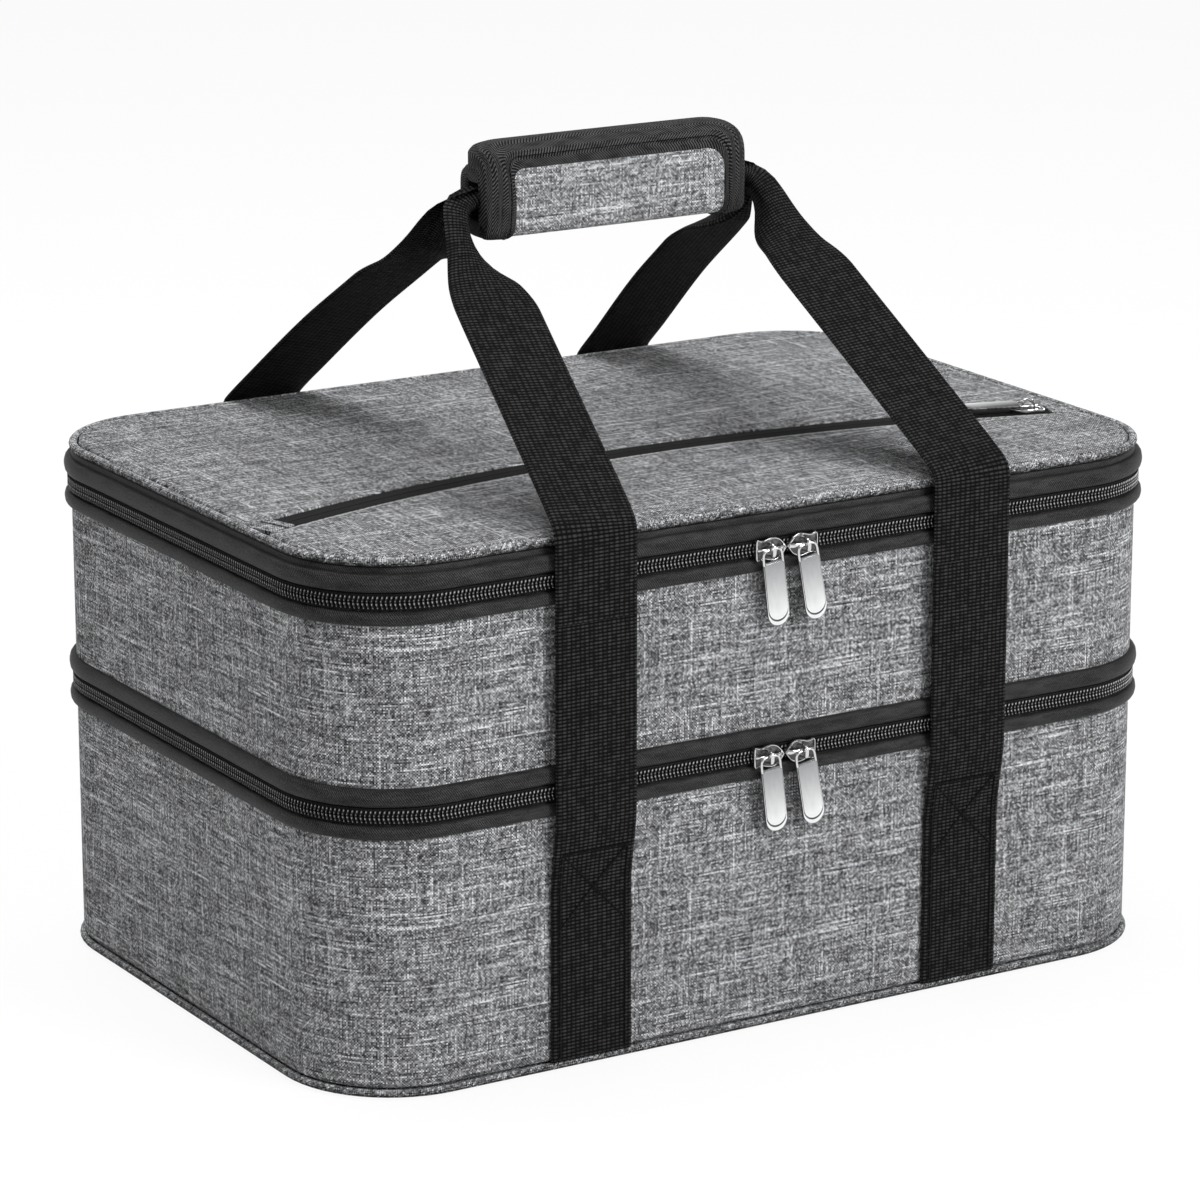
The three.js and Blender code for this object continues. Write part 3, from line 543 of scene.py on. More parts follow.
# %% Skin
class Skin:
    def __init__(self):
        self.points, self.faces, self.uvs, self.finish_of = [], [], [], []
        self.count = 0
        self.finish = 0

    def keep(self, points, faces, uvs):
        self.points.append(points)
        self.faces.extend((face + self.count).tolist() for face in faces)
        self.uvs.extend(uvs)
        self.finish_of.extend([self.finish] * len(faces))
        self.count += len(points)

    def weave(self, grid, along=False, around=False, ends=False, uv=None):
        """Join a grid of points into faces. along and around close it, and ends caps both end rows."""
        grid = np.asarray(grid, float)
        rows, cols = grid.shape[:2]
        steps_u = np.linalg.norm(np.roll(grid, -1, 0) - grid, axis=2).mean(1)
        steps_v = np.linalg.norm(np.roll(grid, -1, 1) - grid, axis=2).mean(0)
        u = np.concatenate([[0], np.cumsum(steps_u)])
        v = np.concatenate([[0], np.cumsum(steps_v)])
        row_count, col_count = rows if along else rows - 1, cols if around else cols - 1
        r, c = np.repeat(np.arange(row_count), col_count), np.tile(np.arange(col_count), row_count)
        r2, c2 = (r + 1) % rows, (c + 1) % cols
        faces = list(np.stack([r * cols + c, r2 * cols + c, r2 * cols + c2, r * cols + c2], -1))
        if uv is None:
            corners = [(u[r], v[c]), (u[r + 1], v[c]), (u[r + 1], v[c + 1]), (u[r], v[c + 1])]
            uvs = list(np.stack([np.stack(pair, -1) for pair in corners], 1))
        else:
            uvs = list(np.stack([uv[r, c], uv[r2, c], uv[r2, c2], uv[r, c2]], 1))
        if ends:
            for row in (0, rows - 1):
                loop = grid[row]
                widest = np.argsort(-np.ptp(loop, axis=0))[:2]
                faces.append(row * cols + np.arange(cols))
                uvs.append(loop[:, np.sort(widest)])
        self.keep(grid.reshape(-1, 3), faces, uvs)

    def beads(self, bead, places):
        for centre, axes in places:
            self.keep(centre + bead.shape_points @ axes, bead.shape_faces, bead.shape_uvs)


print("skin helper ready")

# %% [markdown]
# ### Beads
# Teeth and stitches are small round beads, made once and repeated. Each is a profile turned about an axis,
# as on a lathe.

# %% Beads
def turned(profile, sides):
    """A small round bead: radius and height pairs turned about Z, kept ready for repeating."""
    angle = np.arange(sides) * 2 * math.pi / sides
    grid = np.array([[(radius * math.cos(a), radius * math.sin(a), z) for a in angle] for radius, z in profile])
    bead = Skin()
    bead.weave(grid, around=True, ends=True)
    bead.shape_points = np.concatenate(bead.points)
    bead.shape_faces = [np.array(face) for face in bead.faces]
    bead.shape_uvs = bead.uvs
    return bead


def capsule(radius, length, sides=6):
    half = length / 2
    return turned([(radius * 0.35, -half), (radius * 0.85, -half + radius * 0.4), (radius, -half + radius),
                   (radius, half - radius), (radius * 0.85, half - radius * 0.4), (radius * 0.35, half)], sides)


print("a tooth has", len(capsule(TOOTH_RADIUS, TOOTH_LENGTH).faces), "faces")

# %% [markdown]
# ### Pieces
# `make_piece` turns a skin into an object: it sets the UV layer and the finishes, lets Blender turn all
# faces outward, and marks edges sharper than an angle, so that the rest is shaded smoothly. It also hangs
# the piece on an empty for the body it rides on, and hides the frame's solids that it stands for.

# %% Pieces
def make_piece(name, skin, finishes, body=None, stands_for=(), sharp=38):
    """Turn a skin into an object that rides on a body and stands for solids of the frame."""
    mesh = bpy.data.meshes.new(name)
    mesh.from_pydata((np.concatenate(skin.points) * MM).tolist(), [], skin.faces)
    layer = mesh.uv_layers.new(name="cloth")
    layer.data.foreach_set("uv", np.concatenate(skin.uvs).astype(np.float32).ravel())
    finishes = finishes if isinstance(finishes, list) else [finishes]
    for finish in finishes:
        mesh.materials.append(finish)
    mesh.polygons.foreach_set("material_index", skin.finish_of)
    mesh.polygons.foreach_set("use_smooth", [True] * len(mesh.polygons))
    work = bmesh.new()
    work.from_mesh(mesh)
    bmesh.ops.recalc_face_normals(work, faces=work.faces)
    work.to_mesh(mesh)
    work.free()
    mesh.set_sharp_from_angle(angle=math.radians(sharp))
    piece = bpy.data.objects.new(name, mesh)
    scene.collection.objects.link(piece)
    if body:
        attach(piece, body)
    if stands_for:
        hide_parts(*stands_for)
    print(name, len(mesh.polygons), "faces")
    return piece


print("piece helper ready")

# %% [markdown]
# ## The rim
# Walls, rolls, welts and coils all run round the same plan: a rectangle with round corners. `rim` lists
# stations round it with the point, the outward direction and a share that is 1 in the middle of a side and
# 0 at the corners. `span` reads a solid's box from the frame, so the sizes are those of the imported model.

# %% The rim
def span(node):
    """The box of one of the frame's solids, in millimetres."""
    low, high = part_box(node)
    return np.array(low) / MM, np.array(high) / MM


HALF_X, HALF_Y = span("lower_wall")[1][:2]
CORNER = 49.0
STRAIGHT_X, STRAIGHT_Y = HALF_X - CORNER, HALF_Y - CORNER


def rim(step=6.0, corner_steps=14):
    points, ways, shares = [], [], []

    def straight(x0, y0, x1, y1, way):
        count = max(2, round(math.hypot(x1 - x0, y1 - y0) / step))
        for k in range(count):
            x, y = x0 + (x1 - x0) * k / count, y0 + (y1 - y0) * k / count
            place = x / STRAIGHT_X if way[0] == 0 else y / STRAIGHT_Y
            points.append((x, y))
            ways.append(way)
            shares.append(math.cos(place * math.pi / 2))

    def corner(side_x, side_y, start):
        for k in range(corner_steps):
            a = math.radians(start + 90 * k / corner_steps)
            way = (math.cos(a), math.sin(a))
            points.append((side_x * STRAIGHT_X + CORNER * way[0], side_y * STRAIGHT_Y + CORNER * way[1]))
            ways.append(way)
            shares.append(0.0)

    straight(0, HALF_Y, -STRAIGHT_X, HALF_Y, (0, 1))
    corner(-1, 1, 90)
    straight(-HALF_X, STRAIGHT_Y, -HALF_X, -STRAIGHT_Y, (-1, 0))
    corner(-1, -1, 180)
    straight(-STRAIGHT_X, -HALF_Y, STRAIGHT_X, -HALF_Y, (0, -1))
    corner(1, -1, 270)
    straight(HALF_X, -STRAIGHT_Y, HALF_X, STRAIGHT_Y, (1, 0))
    corner(1, 1, 0)
    straight(STRAIGHT_X, HALF_Y, 0, HALF_Y, (0, 1))
    return np.array(points), np.array(ways), np.array(shares)


rim_points, rim_ways, rim_shares = rim()
rim_steps = np.linalg.norm(np.roll(rim_points, -1, 0) - rim_points, axis=1)
rim_run = np.concatenate([[0], np.cumsum(rim_steps)])
print("rim stations", len(rim_points), "length", round(rim_run[-1]), "mm")

# %% [markdown]
# ### Bands
# A band is one section, given as outset and height pairs, carried round the rim. A curve with a bevel could
# do that too, but a section of our own may swell in the middle of each side, as padding does, and may leave
# out the straight at the back, where no zip runs.

# %% Bands
LONG_SIDE_SWELL = 0.25
not_back = np.abs(rim_points[:, 0]) >= STRAIGHT_X - 0.01
not_back |= rim_points[:, 1] < HALF_Y - 0.01
rim_swell = rim_shares * np.where(np.abs(rim_ways[:, 0]) == 1, 1.0, LONG_SIDE_SWELL)


def band(section, swell=None, three_sides=False, wave=0.0):
    """A section carried round the rim, with a swell in the middle of the sides and a slight wave."""
    section = np.array(section, float)
    outset = np.repeat(section[None, :, 0], len(rim_points), 0)
    if swell is not None:
        outset = outset + np.array(swell)[None, :] * rim_swell[:, None]
    if wave:
        run = rim_run[:-1] * 2 * math.pi / rim_run[-1]
        outset = outset + (wave * (np.sin(7 * run) + 0.6 * np.sin(17 * run + 1)))[:, None]
    flat = rim_points[:, None, :] + rim_ways[:, None, :] * outset[:, :, None]
    grid = np.concatenate([flat, np.repeat(section[None, :, 1:2], len(rim_points), 0)], 2)
    return grid[not_back] if three_sides else grid


print("stations beside the zips", int(not_back.sum()))

# %% [markdown]
# ## Padded walls
# The walls are foam between cloth and lining. Cloth simulation could puff them, but these walls are pulled
# taut by the seams and stay nearly flat, so a plain section does it: the cloth draws in at both seams and
# swells a little between them, most on the short sides where no strap holds it.

# %% Padded walls
WALL_INNER = -5.9
SEAM_RUN = 0.8
near_seam = [0.0, 0.25, 0.7, 1.4, 2.4, 4.0, 7.0]


def padded_wall(node, body, swell, seam, finish=grey_cloth):
    """swell is how far the cloth stands out between its seams, and seam how far it draws in at them."""
    low, high = span(node)
    bottom, top = low[2], high[2]
    tall = top - bottom
    near = [d for d in near_seam if d < tall / 2]
    heights = sorted(set(near) | {tall - d for d in near} | set(np.arange(10, tall - 9, 9.0)))
    outer = [(-seam * math.exp(-min(d, tall - d) / SEAM_RUN), bottom + d) for d in heights]
    inner = [(WALL_INNER, top), (WALL_INNER, bottom)]
    puff = [swell * math.sin(math.pi * d / tall) for d in heights] + [0, 0]
    skin = Skin()
    skin.weave(band(outer + inner, puff, wave=0.05), along=True, around=True)
    make_piece(node + "_cloth", skin, finish, body, [node])


padded_wall("lower_wall", "lower", swell=1.1, seam=1.3)
padded_wall("deck_wall", "deck", swell=0.8, seam=1.0)
# painted shade: the lid's wall strip, in shade between welt and roll, takes the black binding instead of grey
# cloth
padded_wall("lid_wall", "lid", swell=0.1, seam=0.6, finish=roll_cloth)

# %% [markdown]
# ## Welts
# A welt is a cord wrapped in the same cloth and caught in the seam. A curve with a round bevel could make
# it, but the rim's stations are there already, so it is a band with a round section. The weave runs
# slantwise, because the strip is cut on the bias.

# %% Welts
# painted shade: the welts take a darker copy of the heather cloth
WELT_SHADE = -0.16


def welt(node, body):
    low, high = span(node)
    radius = (high[2] - low[2]) / 2
    middle = (high[2] + low[2]) / 2
    out = high[0] - HALF_X - radius * math.cos(math.pi / 6)
    angles = np.arange(16) * 2 * math.pi / 16
    skin = Skin()
    skin.weave(band([(out + radius * math.cos(a), middle + radius * math.sin(a)) for a in angles], wave=0.04),
               along=True, around=True)
    return make_piece(node + "_cord", skin, heather(node + "_cloth", WELT_SHADE, radius), body, [node])


welt("base_welt", "lower")
welt("lid_welt", "lid")

# %% [markdown]
# ## Pads
# The base panel, the deck's floor and the lid's foam are thin pads. A box with a bevel would do, but its
# corners would have to match the rim. So a pad is a stack of the rim's own outlines, drawn in step by step
# over both faces.

# %% Pads
SHRINK_RUN = 140


def pad(node, finish, body, soft, rings=6):
    """A flat pad with the rim's plan and a soft edge: outlines drawn in step by step over both faces."""
    low, high = span(node)
    edge = high[0] - HALF_X
    tall = high[2] - low[2]
    insets = [0.0, soft * 0.3, soft] + list(np.linspace(soft * 3, 80, rings))
    drop = [soft, soft * 0.3] + [0.0] * (len(insets) - 2)
    half = tall / 2
    section = [(edge - i, low[2] + min(d, half)) for i, d in zip(insets[::-1], drop[::-1])]
    section += [(edge - i, high[2] - min(d, half)) for i, d in zip(insets, drop)]
    grid = []
    for outset, z in section:
        inset = edge - outset
        flat = rim_points + rim_ways * outset
        if inset > soft:
            flat = (rim_points + rim_ways * (edge - soft)) * (1 - (inset - soft) / SHRINK_RUN)
        grid.append(np.column_stack([flat, np.full(len(flat), z)]))
    grid = np.array(grid)
    skin = Skin()
    skin.weave(grid, around=True, ends=True, uv=grid[:, :, :2])
    return make_piece(node + "_pad", skin, finish, body, [node])


pad("base_panel", grey_cloth, "lower", soft=1.2)
pad("deck_floor", foam, "deck", soft=1.0)
pad("lid_foam", foam, "lid", soft=1.2)

# %% [markdown]
# ## Lining trays
# Each tub has a silver lining that can be wiped clean, a tray with a flat floor. A solid shell would have
# its creases run straight through the corners, so the tray is woven from the middle of its floor outward
# and the film's UVs turn up with the wall.

# %% Lining trays
FILM, FLOOR_RING, FLOOR_HEART, FLOOR_EDGE = 0.8, 30, 90, 4.0


def lining_tray(node, body):
    """A tray of film: over its floor from the middle, up its inner face, over the edge and back underneath."""
    low, high = span(node)
    out = high[0] - HALF_X
    levels = [(out - FILM - FLOOR_HEART, low[2] + FILM), (out - FILM - FLOOR_RING, low[2] + FILM),
              (out - FLOOR_EDGE, low[2] + FILM), (out - 1.7, low[2] + 1.6), (out - FILM, low[2] + 4.0)]
    levels += [(out - FILM, z) for z in np.linspace(low[2] + 12, high[2] - 3, 6)]
    levels += [(out - FILM, high[2]), (out, high[2]), (out, low[2] + 3.0), (out - 1.2, low[2] + 0.6),
               (out - 3.0, low[2]), (out - FILM - FLOOR_RING, low[2]), (out - FILM - FLOOR_HEART, low[2])]
    rows = []
    for outset, z in levels:
        shrink = 1.0
        if outset < out - FLOOR_EDGE - 0.5:
            shrink = 1 - (out - FLOOR_EDGE - outset) / SHRINK_RUN
            outset = out - FLOOR_EDGE
        flat = (rim_points + rim_ways * outset) * shrink
        rows.append(np.column_stack([flat, np.full(len(flat), z)]))
    grid = np.array(rows)
    steps = np.concatenate([[0], np.cumsum(np.linalg.norm(np.diff(grid, axis=0), axis=2).mean(1))])
    from_front = np.abs(rim_run[:-1] - rim_run[-1] / 2)
    round_run = np.repeat(from_front[None], len(grid), 0)
    up_run = np.repeat(steps[:, None], len(rim_points), 1)
    uv = np.stack([round_run, up_run], 2)
    flat_rows = np.abs(grid[:, 0, 2] - low[2]) < 1.0
    uv[flat_rows] = grid[flat_rows][:, :, :2]
    skin = Skin()
    skin.weave(grid, around=True, ends=True, uv=uv)
    return make_piece(node + "_film", skin, lining, body, [node])


lining_tray("lower_lining", "lower")
lining_tray("deck_lining", "deck")

# %% [markdown]
# ### Lining sheets and board
# The undersides of the deck and of the lid have flat sheets of the same film, made as very thin pads. The
# board in the base is rigid, so its solid stays and only gets a finish.

# %% Lining sheets and board
for node, body, carrier in [("deck_under_lining", "deck", "deck_floor_pad"),
                            ("lid_lining", "lid", "lid_foam_pad")]:
    film = pad(node, lining, body, soft=0.35)
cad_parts["base_board"].material_slots[0].material = board

# %% [markdown]
# ## Zip bands
# Above and below each parting line runs a padded roll of binding and a row of coil. A plain tube would look
# like a pipe, so the roll is a band whose half-round section is fuller than a circle and flat at the back.

# %% Rolls beside the zips
def roll(node, body):
    low, high = span(node)
    middle, half = (low[2] + high[2]) / 2, (high[2] - low[2]) / 2
    proud = high[0] - HALF_X
    section = []
    for a in np.linspace(-90, 90, 15):
        c, s = math.cos(math.radians(a)), math.sin(math.radians(a))
        outset = -0.1 + (proud + 0.1) * abs(c) ** 0.62
        section.append((outset, middle + half * math.copysign(abs(s) ** 0.86, s)))
    skin = Skin()
    skin.weave(band(section, wave=0.06), along=True, around=True)
    make_piece(node + "_roll", skin, roll_cloth, body, [node])


print("rolls stand out", round(span("middle_zip_lower_binding")[1][0] - HALF_X, 1), "mm")

# %% [markdown]
# ### Coil rows
# The coil is a spiral of nylon. A spiral could be swept, but at this size its turns read as short slanted
# teeth, so each row is a tape with a ridge and a few hundred capsules, leaning one way above and the other
# way below.

# %% Coil rows
TOOTH_PITCH, TOOTH_LEAN = 1.8, -0.30
TAPE_IN, TAPE_OUT = 0.1, 0.75
tooth = capsule(TOOTH_RADIUS, TOOTH_LENGTH)
tooth_places = np.arange(0, rim_run[-1], TOOTH_PITCH)


def coil_row(node, body, up):
    """One side of a zip: tape, sewn ridge and teeth. up is 1 below the parting line and -1 above it."""
    low, high = span(node)
    edge, back = (high[2], low[2]) if up > 0 else (low[2], high[2])
    skin = Skin()
    tape = [(TAPE_IN, back), (TAPE_OUT, back), (TAPE_OUT, edge), (TAPE_IN, edge)]
    skin.weave(band(tape, three_sides=True), around=True, ends=True)
    ridge = [(0.7 + 0.55 * math.sin(a), back + up * (0.62 - 0.5 * math.cos(a)))
             for a in np.linspace(0, math.pi, 7)]
    skin.weave(band(ridge, three_sides=True), around=True, ends=True)
    skin.finish = 1
    places = []
    for run in tooth_places:
        k = int(np.searchsorted(rim_run, run, side="right") - 1)
        share = (run - rim_run[k]) / rim_steps[k]
        after = (k + 1) % len(rim_points)
        spot = rim_points[k] * (1 - share) + rim_points[after] * share
        if spot[1] > HALF_Y - 0.5 and abs(spot[0]) < STRAIGHT_X:
            continue
        way = rim_ways[k] * (1 - share) + rim_ways[after] * share
        way = way / np.linalg.norm(way)
        out = np.array([way[0], way[1], 0.0])
        side = np.array([-way[1], way[0], 0.0])
        stand = np.array([0, 0, math.cos(TOOTH_LEAN)]) + side * math.sin(TOOTH_LEAN) * up
        lean = np.cross(stand, out)
        centre = np.array([spot[0], spot[1], edge - up * 1.22]) + out * 1.32
        places.append((centre, np.array([lean, out, stand])))
    skin.beads(tooth, places)
    return make_piece(node + "_teeth", skin, [tape_cloth, coil], body, [node], sharp=60)


for zip_name, under, above in [("middle_zip", "lower", "deck"), ("top_zip", "deck", "lid")]:
    roll(zip_name + "_lower_binding", under)
    roll(zip_name + "_upper_binding", above)
    coil_row(zip_name + "_lower_coil", under, up=1)
    coil_row(zip_name + "_upper_coil", above, up=-1)

# %% [markdown]
# ## Cloth hinges
# At the back no zip runs along the straight. There the tubs hang together by a strip of cloth. It bends
# when a deck is opened, so it needs enough rows of points.


def hinge(node):
    low, high = span(node)
    middle = (low[2] + high[2]) / 2
    heights = np.linspace(low[2], high[2], 15)
    rows = []
    for x in np.linspace(low[0], high[0], 53):
        outer = [(x, high[1] - 0.15 * abs(math.cos((z - middle) * 0.9)), z) for z in heights]
        rows.append(outer + [(x, low[1], z) for z in heights[::-1]])
    skin = Skin()
    skin.weave(rows, around=True, ends=True)
    piece = make_piece(node + "_strip", skin, tape_cloth, None, [node])
    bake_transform(piece)


hinge("middle_hinge_tape")
hinge("lid_hinge_tape")

# %% [markdown]
# ## Lid panels
# The top of the lid is two panels with a curved slit between them. A flat mesh could be cut by the slit,
# but its edges would be ragged. Instead each panel is built in columns across the lid, from its front edge
# to its back edge, with extra points near the edges so that they roll over.

# %% The lid's outline and its slit
PANEL_IN = span("lid_front_panel")[1][0] - HALF_X
PANEL_X, PANEL_Y, PANEL_R = HALF_X + PANEL_IN, HALF_Y + PANEL_IN, CORNER + PANEL_IN
LID_TOP = span("lid_rear_panel")[1][2]
SLIT_FRONT, SLIT_MIDDLE, SLIT_BACK, SLIT_CENTRE = 601.68, 607.68, 616.2, -640.68
FRONT_EDGE = SLIT_FRONT - 0.6


def plan_edge(x, inset=0.0):
    """The depth of the lid's outline at a place across it."""
    limit_x, limit_y, radius = PANEL_X - inset, PANEL_Y - inset, PANEL_R - inset
    past = max(0.0, abs(x) - (limit_x - radius))
    return limit_y - radius + math.sqrt(max(radius ** 2 - past ** 2, 0.0))


def arc(x, radius):
    """The depth of the slit's arc of this radius at a place across the lid."""
    return SLIT_CENTRE + math.sqrt(radius ** 2 - x ** 2)


def plan_depth(x, y):
    """How far a point lies in from the lid's outline."""
    past_x, past_y = abs(x) - (PANEL_X - PANEL_R), abs(y) - (PANEL_Y - PANEL_R)
    if past_x > 0 and past_y > 0:
        return PANEL_R - math.hypot(past_x, past_y)
    return min(PANEL_X - abs(x), PANEL_Y - abs(y))


print("lid top at", round(LID_TOP, 1), "mm, slit", round(SLIT_BACK - FRONT_EDGE, 1), "mm wide")

# %% Lid panels
EDGE_STEPS = np.array([0.0, 0.06, 0.22, 0.5, 0.9, 1.35, 1.9, 3.0])
SEAM_ROLL = 1.7


def spread(low, high, inner):
    """Positions from low to high, close together near both ends and evenly spread between."""
    edge = EDGE_STEPS * min(1.0, (high - low) / 24)
    middle = np.linspace(low + edge[-1], high - edge[-1], inner + 2)[1:-1]
    return np.concatenate([low + edge, middle, high - edge[::-1]])


def rolled(depth, radius):
    """How far a rolled edge lies below the top at a depth in from the edge."""
    short = radius - min(max(depth, 0.0), radius)
    return radius - math.sqrt(radius ** 2 - short ** 2)


def panel(node, low_edge, high_edge, slit_radius, dome, slit_roll):
    """A panel between two edges, with a slight dome, ripples and an edge that rolls down into the slit."""
    low, high = span(node)
    rows = []
    for x in spread(-PANEL_X, PANEL_X, 80):
        ys = spread(low_edge(x), high_edge(x), 26)
        upper = []
        for y in ys:
            from_rim, from_slit = plan_depth(x, y), abs(math.hypot(x, y - SLIT_CENTRE) - slit_radius)
            depth = max(min(from_rim, from_slit), 0.0)
            drop = max(rolled(from_rim, SEAM_ROLL), rolled(from_slit, slit_roll))
            ripple = 0.12 * math.sin(x * 0.031 + y * 0.02) * min(depth / 20, 1)
            lift = dome * (1 - math.exp(-depth / 22)) + ripple
            upper.append((x, y, high[2] - drop + lift))
        rows.append(upper + [(x, y, low[2]) for y in ys[::-1]])
    grid = np.array(rows)
    skin = Skin()
    skin.weave(grid, around=True, ends=True, uv=grid[:, :, :2])
    make_piece(node + "_cloth", skin, grey_cloth, "lid", [node])


panel("lid_front_panel", lambda x: -plan_edge(x), lambda x: arc(x, FRONT_EDGE), FRONT_EDGE,
      dome=0.1, slit_roll=0.5)
panel("lid_rear_panel", lambda x: arc(x, SLIT_BACK), plan_edge, SLIT_BACK, dome=0.6, slit_roll=0.9)

# %% [markdown]
# ## Pocket zip
# A black zip lies in the slit, face down, so only its tape and the thin line between its halves show. It is
# one section swept along the arc. At each end a folded grey tab closes the slit: a flat strip and, on top
# of it, a shorter one for the fold.

# %% Pocket zip
SLIT_REACH = 198


def arc_sweep(skin, section, x_from, x_to, count):
    """Sweep a section of radius and height pairs along the slit's arc."""
    rows = []
    for x in np.linspace(x_from, x_to, count):
        a = math.asin(x / SLIT_MIDDLE)
        rows.append([(r * math.sin(a), SLIT_CENTRE + r * math.cos(a), z) for r, z in section])
    skin.weave(rows, around=True, ends=True)


tape_low, tape_high = span("pocket_zip_tape")
zip_top = tape_high[2] + 0.9
zip_skin = Skin()
middle_ridge = [(-1.0, -0.05), (-0.5, 0.0), (-0.16, -0.15), (0.0, -0.8), (0.16, -0.15), (0.5, 0.0),
                (1.0, -0.05)]
zip_section = [(SLIT_FRONT - 0.5, tape_low[2]), (SLIT_FRONT - 0.5, zip_top - 0.25),
               (SLIT_FRONT + 0.4, zip_top - 0.1)]
zip_section += [(SLIT_MIDDLE + r, zip_top + z) for r, z in middle_ridge]
zip_section += [(SLIT_BACK - 0.9, zip_top - 0.3), (SLIT_BACK - 0.3, zip_top - 0.6),
                (SLIT_BACK - 0.3, tape_low[2])]
arc_sweep(zip_skin, zip_section, -SLIT_REACH, SLIT_REACH, 120)
make_piece("pocket_zip_tape_strip", zip_skin, tape_cloth, "lid", ["pocket_zip_tape"])

# %% Tabs of the pocket zip
TAB_FOLD, TAB_REACH, RIM_REACH = 4.0, 189.6, 201.6


def end_tab(name, x_from, x_to, top):
    """A flat strip of cloth over the slit, with a thin dark seam left along the rear panel."""
    foot = LID_TOP - 1.2
    section = [(SLIT_FRONT - 1.0, foot), (SLIT_FRONT - 1.1, top - 0.3), (SLIT_FRONT - 0.4, top - 0.05),
               (SLIT_MIDDLE, top), (SLIT_BACK - 1.8, top), (SLIT_BACK - 1.0, top - 0.15),
               (SLIT_BACK - 0.8, foot)]
    skin = Skin()
    arc_sweep(skin, section, x_from, x_to, 16)
    make_piece(name, skin, grey_cloth, "lid")


for side, sign in [("left", -1), ("right", 1)]:
    end_tab(f"pocket_tab_{side}", sign * RIM_REACH, sign * (TAB_REACH + TAB_FOLD + 0.5), LID_TOP + 0.15)
    end_tab(f"pocket_tab_fold_{side}", sign * (TAB_REACH + TAB_FOLD), sign * TAB_REACH, LID_TOP + 0.65)

# %% [markdown]
# ## Pocket pouch
# Under the panels lies the pocket's own bag, a flat sheet from the lid's front edge to a hand's width behind
# the slit. It is never seen from outside, but the slit opens into it. Its cut isn't a rectangle, so it is
# built from columns across the lid.

# %% Pocket pouch
POUCH_COLUMNS, POUCH_STEPS, POUCH_BEHIND = 60, 24, 70
pouch_low, pouch_high = span("pocket_pouch")
POUCH_IN = pouch_high[0] - HALF_X
pouch_inset = PANEL_IN - POUCH_IN
pouch_columns = []
for x in np.linspace(-(HALF_X + POUCH_IN), HALF_X + POUCH_IN, POUCH_COLUMNS):
    rear = min(arc(x, SLIT_BACK + POUCH_BEHIND), plan_edge(x, pouch_inset))
    ys = np.linspace(-plan_edge(x, pouch_inset), rear, POUCH_STEPS)
    pouch_columns.append([(x, y, pouch_high[2]) for y in ys] + [(x, y, pouch_low[2]) for y in ys[::-1]])
pouch_grid = np.array(pouch_columns)
pouch_skin = Skin()
pouch_skin.weave(pouch_grid, around=True, ends=True, uv=pouch_grid[:, :, :2])
pouch = make_piece("pocket_pouch_sheet", pouch_skin, tape_cloth, "lid", ["pocket_pouch"])

# %% [markdown]
# ## Stitches
# A row of stitches is a line of short thread lengths that sink at both ends. `stitch_row` walks along a
# path and lays a capsule every few millimetres. Rows hold the slit's edge, the ends of its tabs and, as a
# box with a cross, the straps.

# %% Stitches
TAB_HEM = 2.0


def stitch_row(skin, path, up, length=2.6, pitch=3.3, radius=0.28):
    """Lay threads of one length along a path, one every pitch, with their backs towards up."""
    path = np.array(path, float)
    steps = np.linalg.norm(np.diff(path, axis=0), axis=1)
    run = np.concatenate([[0], np.cumsum(steps)])
    bead = capsule(radius, length, 5)
    up = np.array(up, float)
    places = []
    for at in np.arange(pitch / 2, run[-1], pitch):
        k = min(int(np.searchsorted(run, at, side="right") - 1), len(steps) - 1)
        way = (path[k + 1] - path[k]) / steps[k]
        side = np.cross(up, way)
        side /= np.linalg.norm(side)
        places.append((path[k] + way * (at - run[k]), np.array([side, np.cross(way, side), way])))
    skin.beads(bead, places)


slit_stitches = Skin()
slit_path = [(x, arc(x, SLIT_FRONT - 2.4), LID_TOP + 0.05) for x in np.linspace(-SLIT_REACH, SLIT_REACH, 100)]
stitch_row(slit_stitches, slit_path, (0, 0, 1))
for x in (-TAB_REACH - TAB_HEM, TAB_REACH + TAB_HEM):
    ends = [(x, arc(x, SLIT_FRONT), LID_TOP + 0.66), (x, arc(x, SLIT_BACK - 1.8), LID_TOP + 0.66)]
    stitch_row(slit_stitches, ends, (0, 0, 1), length=1.8, pitch=2.3)
make_piece("pocket_stitches", slit_stitches, grey_thread, "lid")

# %% [markdown]
# ## Straps
# Each handle is one long piece of webbing: sewn to the lower tub, laid over both zip bands, bent over the
# lid's edge and gathered into the grip. It could be one mesh, but here the webbing is cut where it crosses
# from one joint to the next, and the cut ends meet exactly. The section is a flat strip with thinner edges.

# %% The strap's section
STRAP_X, STRAP_HALF, STRAP_THICK = 91.5, 19.0, 2.0
flat_strip = [(1.0, -0.25), (1.0, 0.25), (0.97, 0.75), (0.9, 0.96)]
strip_top = flat_strip[1:] + [(q, 1.0) for q in np.linspace(0.75, -0.75, 7)]
strip_top += [(-q, t) for q, t in flat_strip[:0:-1]]
strip_loop = strip_top + [(-q, -t) for q, t in strip_top]


def strip_rows(stations):
    """Rows of a strap: centre, across, face, half width and how far the edges fold back."""
    rows = []
    for centre, across, face, half, fold in stations:
        rows.append([centre + across * q * half + face * (t * STRAP_THICK / 2 - fold * q * q)
                     for q, t in strip_loop])
    return np.array(rows)


print("strap", 2 * STRAP_HALF, "x", STRAP_THICK, "mm, section of", len(strip_loop), "points")

# %% Upright straps
SEWN_Y, RUN_Y = -140.3, -144.4
SEWN_TOP, LIFT_RUN = 74.0, 36.0
MIDDLE_SPLIT, TOP_SPLIT = 119.4, 207.6


